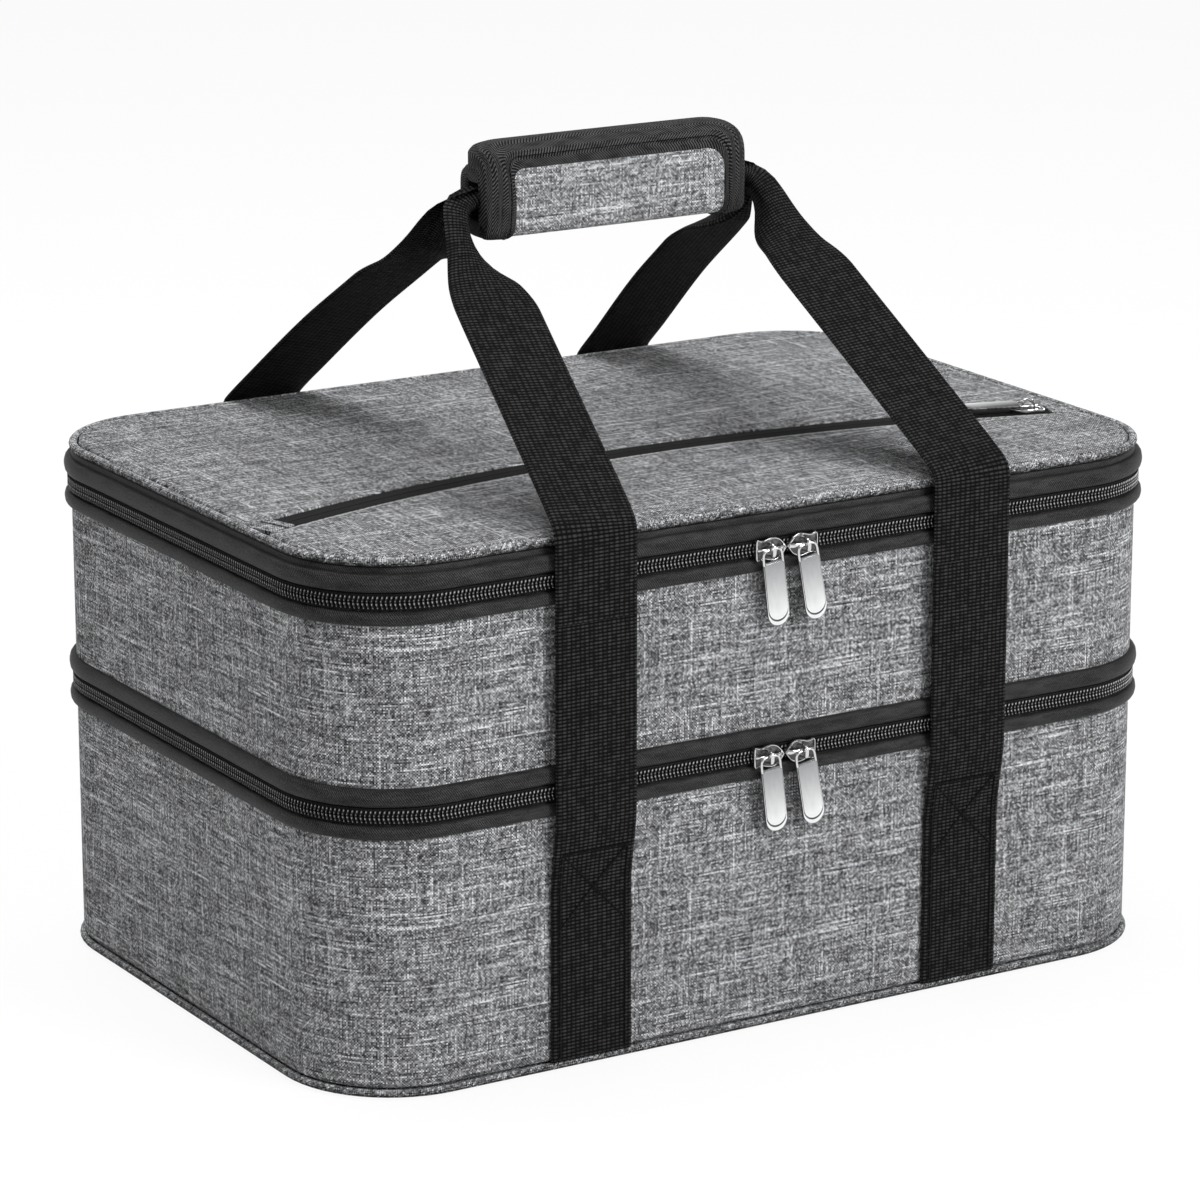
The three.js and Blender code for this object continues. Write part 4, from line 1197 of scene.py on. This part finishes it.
def ramp_y(z):
    """The strap's depth at a height: sewn flat below, then lifted over the zip bands."""
    share = min(max((z - SEWN_TOP) / LIFT_RUN, 0.0), 1.0)
    return SEWN_Y + (RUN_Y - SEWN_Y) * share * share * (3 - 2 * share)


def upright_stations(x, heights, back):
    turn = -1.0 if back else 1.0
    stations = []
    for z in heights:
        slope = ramp_y(z + 0.5) - ramp_y(z - 0.5)
        face = np.array([0, -1.0, slope]) / math.hypot(1, slope)
        stations.append((np.array([x, ramp_y(z) * turn, z]), np.array([1.0, 0, 0]),
                         face * np.array([1, turn, 1]), STRAP_HALF, 0.0))
    return stations


def strap_part(name, x, z_from, z_to, back, nodes):
    """One upright length of strap, from one height to another."""
    count = max(4, round((z_to - z_from) / 2.0))
    skin = Skin()
    rows = strip_rows(upright_stations(x, np.linspace(z_from, z_to, count + 1), back))
    skin.weave(rows, around=True, ends=True)
    piece = make_piece(name, skin, strap_cloth, None, nodes)
    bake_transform(piece)


FRONT_CUTS, BACK_CUTS = (4.1, 122.0, 190.0), (4.1, 163.0, 217.0)
for side, x in [("left", -STRAP_X), ("right", STRAP_X)]:
    strap_part(f"front_{side}_strap_low", x, FRONT_CUTS[0], FRONT_CUTS[1], False,
               [f"front_{side}_strap_base"])
    strap_part(f"front_{side}_strap_high", x, FRONT_CUTS[1], FRONT_CUTS[2], False,
               [f"front_{side}_strap_run"])
    strap_part(f"back_{side}_strap_low", x, BACK_CUTS[0], BACK_CUTS[1], True,
               [f"back_{side}_strap_base"])
    strap_part(f"back_{side}_strap_high", x, BACK_CUTS[1], BACK_CUTS[2], True,
               [f"back_{side}_strap_run"])

# %% [markdown]
# ## Handles
# Over the lid's edge the two straps of one side lean in and join in the grip. A curve object with a flat
# bevel could follow that route, but it can't fold its edges. So a smooth path is laid through a few points,
# and at each step the strip turns on its edge, narrows and folds back its sides, as webbing does when it is
# gathered.

# %% A smooth path
def smooth_path(points, step=3.0):
    """A smooth curve through points, with a new point about every step."""
    points = np.array(points, float)
    padded_points = np.vstack([2 * points[0] - points[1], points, 2 * points[-1] - points[-2]])
    path = []
    for k in range(1, len(padded_points) - 2):
        p0, p1, p2, p3 = padded_points[k - 1:k + 3]
        count = max(2, round(np.linalg.norm(p2 - p1) / step))
        d1 = (p2 - p0) * np.linalg.norm(p2 - p1) / np.linalg.norm(p2 - p0)
        d2 = (p3 - p1) * np.linalg.norm(p2 - p1) / np.linalg.norm(p3 - p1)
        for t in np.arange(count) / count:
            path.append(p1 * (2 * t ** 3 - 3 * t ** 2 + 1) + d1 * (t ** 3 - 2 * t ** 2 + t)
                        + p2 * (3 * t ** 2 - 2 * t ** 3) + d2 * (t ** 3 - t ** 2))
    path.append(points[-1])
    return np.array(path)


def ease(value):
    """0 below 0, 1 above 1 and a smooth rise between."""
    value = min(max(value, 0.0), 1.0)
    return value * value * (3 - 2 * value)


print("an eased quarter is", ease(0.25))

# %% The handle's route
GRIP_MOUTH = np.array([-66.0, -5.8, 333.4])
TURN_RUN, GATHER_RUN = 44, 60
GATHERED_HALF, GATHERED_FOLD = 5.6, 8.5


def handle_half(start_z, back):
    """The left half of a handle's path. The back one bends lower, out of sight behind the lid's edge."""
    if back:
        foot = [(-STRAP_X, RUN_Y, start_z), (-STRAP_X, -144.2, 219.8), (-91.45, -143.0, 223.2),
                (-91.2, -140.6, 226.2), (-89.6, -126.0, 237.6)]
    else:
        foot = [(-STRAP_X, RUN_Y, z) for z in np.arange(start_z, 221.0, 6.0)]
        foot += [(-STRAP_X, RUN_Y, 223.5), (-91.45, -143.4, 227.6), (-91.0, -140.3, 231.3),
                 (-89.0, -125.0, 242.2)]
    route = foot + [(-83.5, -82.0, 271.5), (-78.4, -43.0, 298.0), (-75.6, -23.0, 312.4), (-73.2, -10.5, 324.5),
                    (-69.0, -5.6, 332.0), (-60.0, -6.4, 334.3), (-46.0, -7.0, 334.3)]
    path = smooth_path(route)
    run = np.concatenate([[0], np.cumsum(np.linalg.norm(np.diff(path, axis=0), axis=1))])
    ways = np.gradient(path, axis=0)
    ways /= np.linalg.norm(ways, axis=1)[:, None]
    mouth = run[np.argmin(np.linalg.norm(path - GRIP_MOUTH, axis=1))]
    stations = []
    for centre, way, at in zip(path, ways, run):
        turn = ease((at - mouth + TURN_RUN) / TURN_RUN) * math.pi / 2
        across = np.array([math.cos(turn), 0, -math.sin(turn)])
        across = across - way * (across @ way)
        across /= np.linalg.norm(across)
        gather = ease((at - mouth + GATHER_RUN) / GATHER_RUN)
        half = STRAP_HALF + (GATHERED_HALF - STRAP_HALF) * gather
        face = np.cross(across, way)
        stations.append((centre, across, face, half, GATHERED_FOLD * gather))
    return stations


print("half of the front handle has", len(handle_half(FRONT_CUTS[2], back=False)), "stations")


def handle(name, start_z, back):
    left = handle_half(start_z, back)
    flip = np.array([-1.0, 1, 1])
    right = [(c * flip, -a * flip, f * flip, h, d) for c, a, f, h, d in left[::-1]]
    stations = left + right
    if back:
        turn = np.array([-1.0, -1, 1])
        stations = [(c * turn, a * turn, f * turn, h, d) for c, a, f, h, d in stations]
    skin = Skin()
    skin.weave(strip_rows(stations), around=True, ends=True)
    side = "back" if back else "front"
    piece = make_piece(name, skin, strap_cloth, None,
                       [f"{side}_handle", f"{side}_left_strap_knee", f"{side}_right_strap_knee"])
    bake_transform(piece)


handle("front_handle_webbing", FRONT_CUTS[2], back=False)
handle("back_handle_webbing", BACK_CUTS[2], back=True)

# %% [markdown]
# ## Box and cross stitching
# The straps are sewn to the lower tub along both edges and, at the top of that seam, by a box with a cross
# in it. The threads follow the strap's own surface, so `ramp_y` gives their depth.

# %% Box and cross stitching
BOX_HALF, BOX_LOW, BOX_TOP, SEAM_FOOT = 15.5, 61.0, 93.5, 6.0
THREAD_SEAT = 0.98
cross_stitches = Skin()
for x in (-STRAP_X, STRAP_X):
    left, right = x - BOX_HALF, x + BOX_HALF
    seams = [((left, BOX_TOP), (right, BOX_TOP)), ((left, BOX_LOW), (right, BOX_TOP)),
             ((left, BOX_TOP), (right, BOX_LOW)), ((left, SEAM_FOOT), (left, BOX_TOP)),
             ((right, SEAM_FOOT), (right, BOX_TOP))]
    for turn in (1, -1):
        for a, b in seams:
            path = []
            for t in np.linspace(0, 1, 16):
                z = a[1] + (b[1] - a[1]) * t
                path.append((a[0] + (b[0] - a[0]) * t, (ramp_y(z) - THREAD_SEAT) * turn, z))
            stitch_row(cross_stitches, path, (0, -turn, 0), length=3.0, pitch=3.2, radius=0.52)
make_piece("strap_stitches", cross_stitches, black_thread, "lower")

# %% [markdown]
# ## Grip
# The grip is a padded flap that wraps both handles. A cloth simulation could puff it, but it is stitched
# tight and holds its shape. So its section is a strip that comes up the front and over the top, a second
# strip behind closes it, and both are swept along the length with a little swell.

# %% The grip's section
def rounded(points, radii, steps=8):
    """A line through points with round corners, one radius for each inner point."""
    points = [np.array(p, float) for p in points]
    path = [points[0]]
    for k in range(1, len(points) - 1):
        back, forth = points[k - 1] - points[k], points[k + 1] - points[k]
        before = points[k] + back / np.linalg.norm(back) * radii[k - 1]
        after = points[k] + forth / np.linalg.norm(forth) * radii[k - 1]
        for t in np.linspace(0, 1, steps + 1):
            path.append(before * (1 - t) ** 2 + points[k] * 2 * t * (1 - t) + after * t * t)
    path.append(points[-1])
    dense = [path[0]]
    for a, b in zip(path, path[1:]):
        count = max(1, round(np.linalg.norm(b - a) / 2.5))
        dense += [a + (b - a) * t for t in np.arange(1, count + 1) / count]
    return np.array(dense)


def normals(path, left):
    """Directions square to a line, on its left or on its right."""
    way = np.gradient(path, axis=0)
    way /= np.linalg.norm(way, axis=1)[:, None]
    return np.stack([-way[:, 1], way[:, 0]], 1) * (1 if left else -1)


def run_of(line):
    """The length along a line at each of its points."""
    return np.concatenate([[0], np.cumsum(np.linalg.norm(np.diff(line, axis=0), axis=1))])


flap_line = rounded([(-6.3, 319.7), (-10.0, 319.7), (-10.0, 355.0), (8.0, 355.0)], [3.6, 12.0])
wrap_line = rounded([(-6.0, 319.7), (10.0, 319.7), (10.0, 348.9), (-5.0, 348.9)], [9.0, 9.0])
flap_out, wrap_out = normals(flap_line, left=True), normals(wrap_line, left=False)
print("flap", round(run_of(flap_line)[-1], 1), "mm and wrap", round(run_of(wrap_line)[-1], 1), "mm round")

# %% Grip pads
GRIP_HALF, GRIP_PAD = 63.0, 3.4
SINK_FROM, SINK_RUN = 49.0, 15.5
grip_ends = GRIP_HALF - np.array([0.0, 0.3, 1.0, 2.5])


def sink(x, rise):
    """How far a layer draws in near the grip's ends: most on top, a little elsewhere."""
    past = min(max((abs(x) - SINK_FROM) / SINK_RUN, 0.0), 1.0)
    return (1 - math.sqrt(1 - 0.96 * past * past)) * (1.3 + 3.6 * np.maximum(rise, 0.0) ** 2)


def pad_swell(x, share):
    """How far a pad stands out, most in the middle of its face."""
    return 0.9 * np.sin(share * math.pi) * math.cos(min(abs(x) / GRIP_HALF, 1.0) * math.pi / 2)


def points_along(line, run, places):
    return np.stack([np.interp(places, run, line[:, 0]), np.interp(places, run, line[:, 1])], 1)


def grip_pad(name, line, out, body, node, corner):
    run = run_of(line)
    share = run / run[-1]
    rows = []
    for x in np.concatenate([-grip_ends, np.linspace(-58, 58, 48), grip_ends[::-1]]):
        half = GRIP_PAD / 2 * (1 - 0.45 * math.exp(-(GRIP_HALF - abs(x)) / 0.9))
        past = max(abs(x) - (GRIP_HALF - corner), 0.0)
        places = share * (run[-1] - corner + math.sqrt(corner ** 2 - past ** 2))
        middle, way = points_along(line, run, places), points_along(out, run, places)
        drop = sink(x, way[:, 1])
        outer = middle + way * (half + pad_swell(x, share) - drop)[:, None]
        inner = middle - way * (half + drop)[:, None]
        rows.append([(x, y, z) for y, z in np.vstack([outer, inner[::-1]])])
    skin = Skin()
    skin.weave(rows, around=True, ends=True)
    make_piece(name, skin, grip_cloth, body, [node])


grip_pad("grip_flap_cloth", flap_line, flap_out, "grip_flap", "grip_flap", corner=7.5)
grip_pad("grip_wrap_cloth", wrap_line, wrap_out, "back_handle", "grip_wrap", corner=1.0)

# %% [markdown]
# ### Edge tape of the grip
# A black tape binds three edges of the flap. It could be swept along the edge, but then it would cut
# through the pad where that swells. So it is built on the flap's own surface: a ribbon whose inner edge
# leaves a grey window with round corners, and whose outer edge folds round the ends. Its stitches follow a
# line a fifth of the way across.

# %% The flap's surface
FLAP_FRONT = -8
flap_skin_line = flap_line + flap_out * (GRIP_PAD / 2)
flap_run = run_of(flap_skin_line)


def on_flap(x, s, off):
    """A point over the flap: x along the grip, s up the flap's section, off its surface."""
    y = np.interp(s, flap_run, flap_skin_line[:, 0])
    z = np.interp(s, flap_run, flap_skin_line[:, 1])
    ny = np.interp(s, flap_run, flap_out[:, 0])
    nz = np.interp(s, flap_run, flap_out[:, 1])
    past = max(s - flap_run[-1], 0.0)
    off = off + pad_swell(x, min(s / flap_run[-1], 1.0)) - sink(x, nz)
    return x, y + ny * off + past, z + nz * off


def height_on_flap(z):
    """How far up the flap's section its front face reaches a height."""
    front = flap_skin_line[:, 0] < FLAP_FRONT
    return float(np.interp(z, flap_skin_line[front, 1], flap_run[front]))


print("flap's outside", round(flap_run[-1], 1), "mm round")

# %% Edge tape of the grip
def ribbon_edge(left_x, right_x, low, high, left_round, right_round, steps=12):
    """One edge of the tape: up the left end, round its corner, along the top and down the right end."""
    points = [(left_x, s) for s in np.linspace(low, high - left_round, 16)]
    for a in np.linspace(0, math.pi / 2, steps + 1)[1:]:
        points.append((left_x + left_round * (1 - math.cos(a)),
                       high - left_round + left_round * math.sin(a)))
    points += [(x, high) for x in np.linspace(left_x + left_round, right_x - right_round, 42)[1:]]
    for a in np.linspace(math.pi / 2, 0, steps + 1)[1:]:
        points.append((right_x - right_round * (1 - math.cos(a)),
                       high - right_round + right_round * math.sin(a)))
    points += [(right_x, s) for s in np.linspace(high - right_round, low, 16)[1:]]
    return np.array(points)


WINDOW_LEFT, WINDOW_RIGHT, WINDOW_LOW, WINDOW_TOP = -51.5, 53.0, 0.2, 347.0
TAPE_END, TAPE_ROUND, TAPE_OVER = 64.4, 7.0, 0.8
inner_edge = ribbon_edge(WINDOW_LEFT, WINDOW_RIGHT, WINDOW_LOW, height_on_flap(WINDOW_TOP), 5.5, 9.0)
outer_edge = ribbon_edge(-TAPE_END, TAPE_END, WINDOW_LOW, flap_run[-1] + TAPE_OVER, TAPE_ROUND, TAPE_ROUND)
# The sewn tape isn't quite straight: it bows in on the left, and on the right it widens towards the foot.
reach = (inner_edge[:, 1] - WINDOW_LOW) / (inner_edge[:, 1].max() - WINDOW_LOW)
inner_edge[:, 0] += np.where(inner_edge[:, 0] < -45, 1.6 * np.sin(reach * math.pi), 0.0)
inner_edge[:, 0] -= np.where(inner_edge[:, 0] > 45, 5.0 * np.maximum(1 - reach / 0.28, 0.0) ** 2, 0.0)


def tape_profile(thick):
    """The tape's section as shares across it and heights over the flap, folded round an edge this thick."""
    return [(0.0, -0.3), (0.02, 0.45), (0.08, 0.85), (0.25, 1.0), (0.5, 1.05), (0.75, 1.0), (0.88, 0.75),
            (0.96, 0.15), (1.0, -0.9), (1.0, 1.4 - thick), (0.965, 0.4 - thick), (0.88, -thick),
            (0.7, 0.2 - thick), (0.55, -3.2)]


# The edge is thicker at both ends of the grip, where the tape folds round the wrap as well.
tape_rows = []
for (xi, si), (xo, so) in zip(inner_edge, outer_edge):
    thick = 4.2 + 3.0 * ease((abs(xo) - 56) / 7)
    tape_rows.append([on_flap(xi + (xo - xi) * r, si + (so - si) * r, off) for r, off in tape_profile(thick)])
edge_skin = Skin()
edge_skin.weave(tape_rows, around=True, ends=True)
make_piece("grip_edge_tape", edge_skin, edge_cloth, "grip_flap", ["grip_binding"])

# %% Stitches of the edge tape
STITCH_SHARE = 0.20
edge_stitches = Skin()
stitch_line = inner_edge * (1 - STITCH_SHARE) + outer_edge * STITCH_SHARE
stitch_path = [on_flap(x, s, 1.0) for x, s in stitch_line]
for k in range(len(stitch_path) - 1):
    a, b = np.array(stitch_path[k]), np.array(stitch_path[k + 1])
    gap = np.linalg.norm(b - a)
    if gap < 0.4:
        continue
    middle = (stitch_line[k] + stitch_line[k + 1]) / 2
    up = np.array(on_flap(middle[0], middle[1], 2.0)) - np.array(on_flap(middle[0], middle[1], 1.0))
    stitch_row(edge_stitches, [a, b], up, length=min(2.2, gap * 0.85), pitch=max(gap, 0.5), radius=0.25)
make_piece("grip_stitches", edge_stitches, black_thread, "grip_flap")

# %% [markdown]
# ### Wrap ends and fastener tapes
# The rear strip of the grip has the same black tape folded over both of its ends, one section swept along
# the strip. Where the flap lies on the wrap, a hook tape meets a loop tape.

# %% Wrap ends and fastener tapes
end_profile = [(52.5, -0.3), (52.8, 0.4), (54.0, 0.8), (57.0, 0.85), (60.0, 0.8), (62.6, 0.6), (64.0, 0.0),
               (64.5, -1.2), (64.5, -5.0), (63.7, -6.3), (61.5, -6.8), (58.5, -6.0), (57.0, -3.2)]
wrap_face = wrap_line + wrap_out * (GRIP_PAD / 2)
end_skin = Skin()
for side in (-1, 1):
    rows = []
    for (y, z), (ny, nz) in zip(wrap_face, wrap_out):
        lifts = [(x, off - sink(x, nz)) for x, off in end_profile]
        rows.append([(side * x, y + ny * lift, z + nz * lift) for x, lift in lifts])
    end_skin.weave(rows, around=True, ends=True)
make_piece("grip_wrap_ends", end_skin, edge_cloth, "back_handle")


def fastener(node, body, finish):
    low, high = span(node)
    rows = []
    for x in np.linspace(low[0], high[0], 36):
        ys = np.linspace(low[1], high[1], 9)
        rows.append([(x, y, high[2]) for y in ys] + [(x, y, low[2]) for y in ys[::-1]])
    skin = Skin()
    skin.weave(rows, around=True, ends=True)
    return make_piece(node + "_pile", skin, finish, body, [node])


fastener("grip_hook_tape", "grip_flap", hook_cloth)
fastener("grip_loop_tape", "back_handle", tape_cloth)

# %% [markdown]
# ## Slider
# A slider is a small cast body shaped like an eye, with a thin raised rim, a bridge for the pull and a
# hollow between. A box could be cut and bevelled into it, but a stack of outlines, each a little larger or
# smaller than the last, gives the rim and the hollow at once. It is drawn once in its own frame.

# %% Slider shape
def body_outline(inset):
    """The slider's outline: a pointed nose at -U, a swell, a slight waist and a blunt rear."""
    corners = [(-8.3, 0, 0), (-7.2, 1.7, 0), (-5.0, 3.9, 0), (-2.4, 4.9, 0), (0.4, 4.6, 0), (2.6, 4.0, 0),
               (4.4, 4.2, 0), (5.9, 4.5, 0), (6.5, 3.4, 0), (6.6, 0, 0)]
    half = smooth_path(corners, 0.8)[:, :2]
    loop = np.vstack([half, half[-2:0:-1] * np.array([1, -1])])
    way = np.roll(loop, -1, 0) - np.roll(loop, 1, 0)
    way /= np.linalg.norm(way, axis=1)[:, None]
    return loop + np.stack([way[:, 1], -way[:, 0]], 1) * inset


def tube(skin, path, across, half_wide, half_thick, sides=10):
    """A rod of oval section along a path."""
    path = np.array(path, float)
    ways = np.gradient(path, axis=0)
    ways /= np.linalg.norm(ways, axis=1)[:, None]
    rows = []
    for centre, way in zip(path, ways):
        side = np.array(across, float) - way * (np.array(across, float) @ way)
        side /= np.linalg.norm(side)
        up = np.cross(way, side)
        rows.append([centre + side * half_wide * math.cos(a) + up * half_thick * math.sin(a)
                     for a in np.arange(sides) * 2 * math.pi / sides])
    skin.weave(rows, around=True, ends=True)


def slider_skin(bail_across_zip):
    """U along the zip with the nose at -U, V across it, W outwards; W 0 is the body's face."""
    skin = Skin()
    levels = [(1.0, -2.6), (0.3, -2.4), (0.0, -1.9), (0.0, -0.6), (0.10, -0.18), (0.32, 0.0), (0.58, -0.08),
              (0.74, -0.5), (0.85, -1.0)]
    skin.weave([[(x, y, w) for x, y in body_outline(inset)] for inset, w in levels], around=True, ends=True)
    # painted shade: the floor of the hollow takes the dark steel
    skin.finish = 1
    skin.weave([[(x, y, w) for x, y in body_outline(0.8)] for w in (-1.3, -0.95)], around=True, ends=True)
    skin.finish = 0
    nose_rib = [(-7.0, 0, -0.7), (-6.0, 0, 0.0), (-4.2, 0, 0.45), (-2.2, 0, 0.6), (-0.4, 0, 0.5)]
    rear_rib = [(0.9, 0, 0.3), (2.6, 0, 0.3), (4.4, 0, 0.0), (5.6, 0, -0.6)]
    tube(skin, nose_rib, (0, 1, 0), 0.95, 0.42)
    tube(skin, rear_rib, (0, 1, 0), 0.6, 0.36)
    arch = [(0, -2.55, -1.1), (0, -2.55, 1.6), (0, -2.45, 2.6), (0, -2.0, 3.25), (0, -1.2, 3.5), (0, 0, 3.55),
            (0, 1.2, 3.5), (0, 2.0, 3.25), (0, 2.45, 2.6), (0, 2.55, 1.6), (0, 2.55, -1.1)]
    if bail_across_zip:
        tube(skin, arch, (1, 0, 0), 0.85, 0.5)
    else:
        tube(skin, [(v, 0, w) for _, v, w in arch], (0, 1, 0), 0.85, 0.5)
    return skin


print("slider outline", len(body_outline(0.0)), "points")

# %% [markdown]
# ## Pull
# The pull is a loop of wire and a flat tab with a crowned face and a step near its end. The tab is a stack
# of outlines too, and the side and the step take the dark steel as painted shade, so that the face has a
# dark line round it.

# %% Pull shape
TAB_TOP, TAB_END, TAB_HALF = -4.6, -PULL_LENGTH, 5.2
WALL_ROWS, STEP_ROWS = (0, 1, 2, 3), (6, 7, 8)


def tab_outline(inset, drop):
    """The tab's outline: a round free end, straight sides and a squarer top by the loop."""
    half = TAB_HALF - inset
    low = TAB_END + TAB_HALF + drop
    high = TAB_TOP - min(inset, 0.8)
    points = [(half * math.cos(a), low + half * math.sin(a)) for a in np.linspace(0, -math.pi, 17)]
    points += [(-half, low + (high - 0.9 - low) * t) for t in (0.33, 0.67, 1.0)]
    points += [(-half + 0.2 * half, high), (half - 0.2 * half, high)]
    points += [(half, low + (high - 0.9 - low) * t) for t in (1.0, 0.67, 0.33)]
    return points


def pull_skin():
    """V up along the pull with its loop's top at 0, U across, W outwards."""
    skin = Skin()
    levels = [(0.5, 0, -0.72), (0.12, 0, -0.62), (0.0, 0, -0.3), (0.0, 0, 0.2), (0.10, 0, 0.42),
              (0.36, 0.0, 0.50), (0.40, 1.3, 0.46), (0.44, 1.5, 0.1), (0.52, 1.95, 0.1), (0.55, 2.0, 0.62),
              (0.85, 2.05, 0.74), (2.0, 2.05, 0.86), (3.4, 2.05, 0.93), (5.0, 2.05, 0.96)]
    rows = np.array([[(x, z, w) for x, z in tab_outline(inset, drop)] for inset, drop, w in levels])
    skin.weave(rows, around=True, ends=True, uv=rows[:, :, :2])
    # painted shade: the tab's side walls and its step take the dark steel
    for k in WALL_ROWS + STEP_ROWS:
        skin.finish_of[k * rows.shape[1]:(k + 1) * rows.shape[1]] = [2] * rows.shape[1]
    skin.finish = 1
    rise = [(4.55, TAB_TOP - 1.2, 0), (4.55, -3.6, 0), (4.45, -1.9, 0), (3.8, -0.4, 0), (2.4, 0.25, 0)]
    loop = [(-x, y, z) for x, y, z in rise] + [(0, 0.35, 0)] + rise[::-1]
    tube(skin, smooth_path(loop, 0.7), (0, 0, 1), 0.62, 0.62)
    return skin


print("pull outline", len(tab_outline(0.0, 0.0)), "points")

# %% [markdown]
# ### Sliders and pulls on the zips
# On each zip two sliders meet nose to nose in the middle of the front. The pulls hang a little askew, as
# real ones do. `placed` moves a shape from its own frame to its place on the zip.

# %% Sliders and pulls on the zips
def placed(skin, origin, u_axis, v_axis, w_axis):
    """Move a skin from its own frame to a place and three axes."""
    axes = np.array([u_axis, v_axis, w_axis], float)
    skin.points = [np.array(origin, float) + points @ axes for points in skin.points]
    return skin


SLIDER_X, FACE_Y, PULL_Y = 8.5, -143.9, -145.35
tilts = {"left": math.radians(7), "right": math.radians(10)}
for zip_name, split in [("middle_zip", MIDDLE_SPLIT), ("top_zip", TOP_SPLIT)]:
    short = zip_name.split("_")[0]
    for side, sign in [("left", -1), ("right", 1)]:
        eye = placed(slider_skin(bail_across_zip=True), (sign * SLIDER_X, FACE_Y, split),
                     (sign, 0, 0), (0, 0, 1), (0, -1, 0))
        make_piece(f"{short}_slider_{side}_steel", eye, [steel, shade_steel], f"{short}_slider_{side}",
                   [f"{zip_name}_slider_{side}"])
        cosine, sine = math.cos(tilts[side]), math.sin(tilts[side])
        tab = placed(pull_skin(), (sign * SLIDER_X, PULL_Y, split), (cosine, 0, sine), (-sine, 0, cosine),
                     (0, -1, 0))
        make_piece(f"{short}_pull_{side}_steel", tab, [pull_steel, steel, shade_steel], f"{short}_pull_{side}",
                   [f"{zip_name}_pull_{side}"])

# %% [markdown]
# ### Pocket slider and pull
# The pocket's slider stands near the right end of the slit, turned along the arc, and its pull lies flat on
# the tape.

# %% Pocket slider and pull
POCKET_SLIDER_X, POCKET_FACE_Z, POCKET_PULL_Z = 181.0, 227.1, 228.55
angle = -math.asin(POCKET_SLIDER_X / SLIT_MIDDLE)
forth = np.array([math.cos(angle), math.sin(angle), 0])
away = np.array([-math.sin(angle), math.cos(angle), 0])
seat = np.array([0, SLIT_CENTRE, 0]) + away * SLIT_MIDDLE
eye = placed(slider_skin(bail_across_zip=False), seat + np.array([0, 0, POCKET_FACE_Z]), forth, away, (0, 0, 1))
make_piece("pocket_slider_steel", eye, [steel, shade_steel], "pocket_slider", ["pocket_slider"])
tab = placed(pull_skin(), seat + np.array([0, 0, POCKET_PULL_Z]), -away, forth, (0, 0, 1))
make_piece("pocket_pull_steel", tab, [pull_steel, steel, shade_steel], "pocket_pull", ["pocket_pull"])
